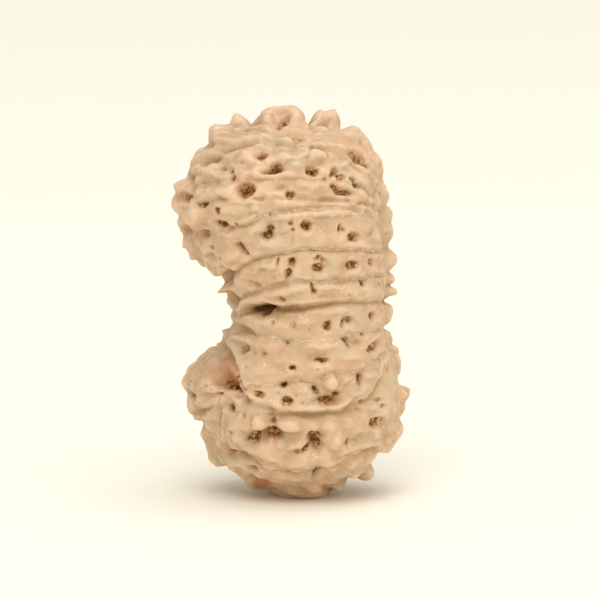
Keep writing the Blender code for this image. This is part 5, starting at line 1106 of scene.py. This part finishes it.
@dataclass(frozen=True)
class StoneFinish:
    """Finish of the stone: dry, smooth, pale tan, red brown in the pits, pale along the lines."""

    tan: Colour = (0.65, 0.44, 0.265)
    deep_tan: Colour = (0.56, 0.365, 0.21)
    # Paler tone on raised crowns: partly the pinker raised skin, partly painted highlight.
    crown_tone_and_highlight: Colour = (0.76, 0.54, 0.37)
    # Painted shade: darker brown in the hollows.
    hollow_shade: Colour = (0.42, 0.26, 0.115)
    olive: Colour = (0.55, 0.45, 0.295)
    pink: Colour = (0.72, 0.455, 0.30)
    pit_wall: Colour = (0.56, 0.285, 0.1)
    pit_floor: Colour = (0.2, 0.088, 0.022)
    # Painted highlight: pale glints in the pits.
    painted_glint: Colour = (0.85, 0.68, 0.48)
    # Painted shade in the open crack, and its fine dark closing line.
    crack_shade_and_line: Colour = (0.13, 0.05, 0.014)
    seam: Colour = (0.93, 0.83, 0.68)
    # Red brown areas: partly the stone's own red brown, partly painted shade in recesses and round pits.
    red_brown: Colour = (0.5, 0.2, 0.085)
    speck: Colour = (0.3, 0.2, 0.12)
    roughness: float = 0.5
    rough_pits: float = 0.38
    bump_strength: float = 0.5
    bump_height: float = 0.00003
    skin_depth: float = 0.0006
    skin_share: float = 0.12
    skin_radius: tuple[float, float, float] = (1.0, 0.55, 0.3)
    specular: float = 0.4

    def build(self) -> bpy.types.Material:
        """Builds the material from the stone's attributes and noise on Object coordinates.

        Returns:
            The material.
        """
        material = bpy.data.materials.new("rudraksha_stone")
        material.use_nodes = True
        tree = material.node_tree
        shader = tree.nodes["Principled BSDF"]
        board = NodeBoard(tree)
        coordinates = tree.nodes.new("ShaderNodeTexCoord").outputs["Object"]
        noises = {pattern: board.noise(coordinates, *pattern.value) for pattern in Pattern}
        inside = board.ramp(board.frayed(board.attribute("pit"), noises[Pattern.MOTTLE], 0.7), 0.22, 0.75)

        colour = self.skin_colour(board, noises)
        colour = self.line_colour(board, noises, colour)
        colour = self.pit_colour(board, noises, colour, inside)
        tree.links.new(colour, shader.inputs["Base Color"])

        rough = board.math("ADD", board.scaled(noises[Pattern.GRAIN], 0.16), self.roughness - 0.08)
        wet = board.scaled(inside, self.roughness - self.rough_pits)
        tree.links.new(board.math("SUBTRACT", rough, wet), shader.inputs["Roughness"])
        shader.inputs["Subsurface Weight"].default_value = self.skin_share
        shader.inputs["Subsurface Radius"].default_value = self.skin_radius
        shader.inputs["Subsurface Scale"].default_value = self.skin_depth
        shader.inputs["Specular IOR Level"].default_value = self.specular

        bump = tree.nodes.new("ShaderNodeBump")
        bump.inputs["Strength"].default_value = self.bump_strength
        bump.inputs["Distance"].default_value = self.bump_height
        relief = board.math("ADD", board.scaled(noises[Pattern.MOTTLE], 1.6), noises[Pattern.GRAIN])
        crumbly = board.scaled(board.product(inside, noises[Pattern.CRUMBS]), 5.0)
        tree.links.new(board.math("ADD", relief, crumbly), bump.inputs["Height"])
        tree.links.new(bump.outputs["Normal"], shader.inputs["Normal"])
        return material

    def skin_colour(self, board: NodeBoard, noises: dict[Pattern, Socket]) -> Socket:
        """Colour of the skin: tan in patches, paler on crowns as painted highlight, deeper in hollows as
        painted shade, red brown in areas that are partly stain and partly painted shade, with specks.

        Args:
            board: Nodes of the material.
            noises: Its noise values.

        Returns:
            The colour.
        """
        fine, wide = board.attribute("crown_fine"), board.attribute("crown_wide")
        patch, mottle = noises[Pattern.PATCH], noises[Pattern.MOTTLE]
        layers = (
            (patch, 0.5, 0.64, 0.5, self.olive),
            (patch, 0.46, 0.34, 0.5, self.pink),
            (mottle, 0.5, 0.75, 0.25, self.deep_tan),
            # Painted highlight: raised crowns, widely and finely, turn paler and pinker.
            (wide, 0.02, 0.28, 0.6, self.crown_tone_and_highlight),
            (fine, 0.004, 0.045, 0.5, self.crown_tone_and_highlight),
            # Painted shade: hollows, widely and finely, turn darker brown.
            (wide, -0.03, -0.3, 0.8, self.hollow_shade),
            (fine, -0.006, -0.06, 0.5, self.hollow_shade),
            # Red brown areas, partly stain and partly painted shade.
            (board.frayed(board.attribute("stain_and_shade"), mottle, 0.5), 0.1, 0.8, 0.8, self.red_brown),
        )
        colour = board.mix(board.ramp(noises[Pattern.BROAD], 0.36, 0.64), self.tan, self.deep_tan)
        for value, low, high, share, tint in layers:
            colour = board.mix(board.scaled(board.ramp(value, low, high), share), colour, tint)
        dust = board.ramp(noises[Pattern.DUST], 0.69, 0.74)
        dust = board.product(dust, board.ramp(mottle, 0.5, 0.62))
        colour = board.mix(board.scaled(dust, 0.7), colour, self.speck)
        flecks = board.ramp(noises[Pattern.FLECKS], 0.66, 0.72)
        flecks = board.product(flecks, board.ramp(mottle, 0.52, 0.44))
        return board.mix(board.scaled(flecks, 0.55), colour, self.seam)

    def line_colour(self, board: NodeBoard, noises: dict[Pattern, Socket], colour: Socket) -> Socket:
        """Adds the pale thread along the mukhi lines, with a dotted dark line in its middle.

        Args:
            board: Nodes of the material.
            noises: Its noise values.
            colour: Colour so far.

        Returns:
            The colour.
        """
        distance, seam = board.math("ABSOLUTE", board.attribute("seam_gap")), board.attribute("seam")
        thread = board.product(board.ramp(distance, 0.085, 0.02), seam)
        pale = board.product(thread, board.ramp(noises[Pattern.MOTTLE], 0.3, 0.6))
        colour = board.mix(board.scaled(pale, 0.65), colour, self.seam)
        drawn = board.product(board.ramp(distance, 0.045, 0.015), board.ramp(seam, 0.1, 0.4))
        dotted = board.product(drawn, board.ramp(noises[Pattern.DOTS], 0.5, 0.6))
        return board.mix(board.scaled(dotted, 0.7), colour, self.speck)

    def pit_colour(self, board: NodeBoard, noises: dict[Pattern, Socket], colour: Socket,
                   inside: Socket) -> Socket:
        """Adds the crumbly pit insides with painted glints, and the dark crack: painted shade and its dark
        line.

        Args:
            board: Nodes of the material.
            noises: Its noise values.
            colour: Colour so far.
            inside: Share to which each place is inside a pit.

        Returns:
            The colour.
        """
        crumbs = noises[Pattern.CRUMBS]
        lining = board.mix(board.ramp(crumbs, 0.42, 0.56), self.pit_floor, self.pit_wall)
        # Painted glints: pale flecks in the pits stand in for highlights.
        lining = board.mix(board.ramp(crumbs, 0.6, 0.66), lining, self.painted_glint)
        colour = board.mix(inside, colour, lining)
        # Painted shade: the crack turns red brown, then near black where it is deep.
        torn = board.frayed(board.attribute("crack"), noises[Pattern.MOTTLE], 0.5)
        colour = board.mix(board.ramp(torn, 0.3, 0.75), colour, self.pit_wall)
        return board.mix(board.ramp(torn, 0.6, 0.95), colour, self.crack_shade_and_line)


@dataclass
class RudrakshaBead:
    """The stone: one closed mesh with its relief and the numbers that its finish reads."""

    form: StoneForm = field(default_factory=StoneForm)
    girth: Girth = field(default_factory=Girth)
    finish: StoneFinish = field(default_factory=StoneFinish)
    sphere_steps: int = 5
    cuts: int = 5
    front_share: float = 0.18
    crown_steps: tuple[tuple[str, int], ...] = (("crown_fine", 6), ("crown_wide", 70))

    def build(self) -> bpy.types.Object:
        """Builds the stone's mesh.

        Returns:
            The object, undressed.
        """
        mesh, smooth = self.build_smooth()
        relief = Relief(smooth, self.read(mesh.vertex_normals, "vector"), self.form, self.girth)
        relief.add_ground()
        relief.add_bands()
        relief.add_front_lines()
        taken = relief.add_measured_spots()
        relief.add_stain_and_shade()
        relief.add_seeded_spots(taken)
        points = relief.settle()
        self.move(mesh, points)
        self.store_crowns(mesh, points)
        for name in ("pit", "crack", "seam_gap", "seam", "stain_and_shade"):
            self.store(mesh, name, getattr(relief, name))

        points *= MM
        points[:, :2] -= (points[:, :2].min(axis=0) + points[:, :2].max(axis=0)) / 2
        mesh.shade_smooth()
        self.move(mesh, points)
        bead = bpy.data.objects.new("rudraksha_stone", mesh)
        bpy.context.scene.collection.objects.link(bead)
        return bead

    def build_smooth(self) -> tuple[bpy.types.Mesh, np.ndarray]:
        """Lays a sphere, more finely divided on the side that faces the eye, on the smooth stone.

        Returns:
            The mesh, and its points in millimetres.
        """
        bm = bmesh.new()
        bmesh.ops.create_icosphere(bm, subdivisions=self.sphere_steps, radius=1.0)
        bmesh.ops.subdivide_edges(bm, edges=bm.edges[:], cuts=self.cuts, use_grid_fill=True)
        mesh = bpy.data.meshes.new("rudraksha_stone_relief")
        bm.to_mesh(mesh)
        bm.free()
        directions = self.read(mesh.vertices, "co")
        directions /= np.linalg.norm(directions, axis=1)[:, None]
        directions += self.front_share * TOWARDS_EYE
        directions /= np.linalg.norm(directions, axis=1)[:, None]
        smooth = self.form.place(directions)
        self.move(mesh, smooth)
        return mesh, smooth

    @staticmethod
    def read(items: bpy.types.bpy_prop_collection, name: str) -> np.ndarray:
        """Reads a vector from each item as rows of numbers."""
        flat = np.empty(len(items) * 3, dtype=np.float32)
        items.foreach_get(name, flat)
        return flat.reshape(-1, 3).astype(float)

    @staticmethod
    def move(mesh: bpy.types.Mesh, points: np.ndarray) -> None:
        """Moves the vertices of a mesh to these points."""
        mesh.vertices.foreach_set("co", points.ravel())
        mesh.update()

    @staticmethod
    def store(mesh: bpy.types.Mesh, name: str, values: np.ndarray) -> None:
        """Stores one number a vertex on the mesh."""
        layer = mesh.attributes.new(name, "FLOAT", "POINT")
        layer.data.foreach_set("value", values.astype(np.float32))

    def store_crowns(self, mesh: bpy.types.Mesh, points: np.ndarray) -> None:
        """Stores how far each point stands out of its smoothed surroundings, finely and widely.

        Args:
            mesh: The stone's mesh, with its relief.
            points: Its points, in millimetres.
        """
        flat = np.empty(len(mesh.edges) * 2, dtype=np.int64)
        mesh.edges.foreach_get("vertices", flat)
        ends = flat.reshape(-1, 2)
        source = np.concatenate((ends[:, 0], ends[:, 1]))
        target = np.concatenate((ends[:, 1], ends[:, 0]))
        count = np.bincount(target, minlength=len(points))[:, None]
        normals = self.read(mesh.vertex_normals, "vector")
        # The finish reads these for painted highlight on crowns and painted shade in hollows.
        smooth, done = points.copy(), 0
        for name, steps in self.crown_steps:
            for _ in range(done, steps):
                columns = [np.bincount(target, smooth[source, axis], len(points)) for axis in range(3)]
                smooth = 0.5 * smooth + 0.5 * np.column_stack(columns) / count
            self.store(mesh, name, np.einsum("ij,ij->i", points - smooth, normals))
            done = steps

    def dress(self, bead: bpy.types.Object) -> None:
        """Gives the stone its finish and its place in the model."""
        bead.data.materials.append(self.finish.build())
        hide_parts("rudraksha_bead")
        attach(bead, "root")


@dataclass(frozen=True)
class Lamp:
    """One soft area light, in metres from the foot of the stone."""

    name: str
    place: tuple[float, float, float]
    width: float
    watts: float
    colour: Colour = WHITE

    def build(self, aim: Vector) -> bpy.types.Object:
        """Builds the lamp, turned to the aim.

        Args:
            aim: Point that the lamp faces.

        Returns:
            The lamp.
        """
        light = bpy.data.lights.new(self.name, "AREA")
        light.shape = "DISK"
        light.size = self.width
        light.energy = self.watts
        light.color = self.colour
        lamp = bpy.data.objects.new(self.name, light)
        lamp.location = self.place
        lamp.rotation_euler = (aim - Vector(self.place)).to_track_quat("-Z", "Y").to_euler()
        bpy.context.scene.collection.objects.link(lamp)
        return lamp


@dataclass
class Studio:
    """Pale floor that turns up all round, soft lamps and the camera. Its sizes are in metres."""

    floor_radius: float = 1.3
    floor_rings: int = 10
    floor_sides: int = 64
    bend: float = 0.5
    bend_rings: int = 8
    floor_colour: Colour = (0.96, 0.94, 0.835)
    floor_roughness: float = 0.7
    aim: tuple[float, float, float] = (0.00057, 0.0, 0.01248)
    lens: float = 400.0
    sensor: float = 36.0
    field_width: float = 0.0382
    surround: float = 0.54
    lamps: tuple[Lamp, ...] = (
        Lamp("key", (-0.08, -0.75, 1.0), 0.8, 6.6),
        Lamp("top", (0.15, 0.1, 1.2), 0.9, 4.6),
        Lamp("fill", (0.9, -0.7, 0.45), 0.9, 2.2),
    )

    def build(self) -> bpy.types.Object:
        """Builds the floor, the lamps, the light from all round and the camera.

        Returns:
            The floor.
        """
        floor = self.build_floor()
        aim = Vector(self.aim)
        for lamp in self.lamps:
            lamp.build(aim)
        world = bpy.data.worlds.new("studio")
        bpy.context.scene.world = world
        world.use_nodes = True
        back = world.node_tree.nodes["Background"]
        back.inputs["Color"].default_value = (*WHITE, 1.0)
        back.inputs["Strength"].default_value = self.surround
        bpy.context.scene.view_settings.view_transform = "Standard"
        self.build_camera(aim)
        return floor

    def build_floor(self) -> bpy.types.Object:
        """Spins the floor's section, flat and then bent upwards, once round.

        Returns:
            The floor.
        """
        rings = range(self.floor_rings + 1)
        section = [(self.floor_radius * ring / self.floor_rings, 0.0) for ring in rings]
        for ring in range(1, self.bend_rings + 1):
            angle = math.pi / 2 * ring / self.bend_rings
            outwards, upwards = self.bend * math.sin(angle), self.bend * (1 - math.cos(angle))
            section.append((self.floor_radius + outwards, upwards))
        bm = bmesh.new()
        verts = [bm.verts.new((radius, 0.0, height)) for radius, height in section]
        edges = [bm.edges.new(pair) for pair in zip(verts[:-1], verts[1:])]
        bmesh.ops.spin(bm, geom=verts + edges, cent=(0, 0, 0), axis=(0, 0, 1), angle=2 * math.pi,
                       steps=self.floor_sides, use_merge=True)
        bmesh.ops.remove_doubles(bm, verts=bm.verts[:], dist=1e-6)
        mesh = bpy.data.meshes.new("floor")
        bm.to_mesh(mesh)
        bm.free()
        mesh.shade_smooth()
        material = bpy.data.materials.new("floor")
        material.use_nodes = True
        shader = material.node_tree.nodes["Principled BSDF"]
        shader.inputs["Base Color"].default_value = (*self.floor_colour, 1.0)
        shader.inputs["Roughness"].default_value = self.floor_roughness
        mesh.materials.append(material)
        floor = bpy.data.objects.new("floor", mesh)
        bpy.context.scene.collection.objects.link(floor)
        return floor

    def build_camera(self, aim: Vector) -> None:
        """Sets the camera up along the sight line."""
        data = bpy.data.cameras.new("camera")
        data.lens = self.lens
        data.sensor_width = self.sensor
        data.clip_start = 0.01
        camera = bpy.data.objects.new("camera", data)
        camera.location = aim + Vector(TOWARDS_EYE) * (self.field_width / self.sensor * self.lens)
        camera.rotation_euler = (aim - camera.location).to_track_quat("-Z", "Y").to_euler()
        bpy.context.scene.collection.objects.link(camera)
        bpy.context.scene.camera = camera


def main() -> None:
    """Builds the stone and the studio."""
    logging.basicConfig(level=logging.INFO, format="%(name)s: %(message)s")
    stone = RudrakshaBead()
    bead = stone.build()
    stone.dress(bead)
    for piece in (bead, Studio().build()):
        LOG.info("%s: %d faces", piece.name, len(piece.data.polygons))


if __name__ == "__main__":
    main()
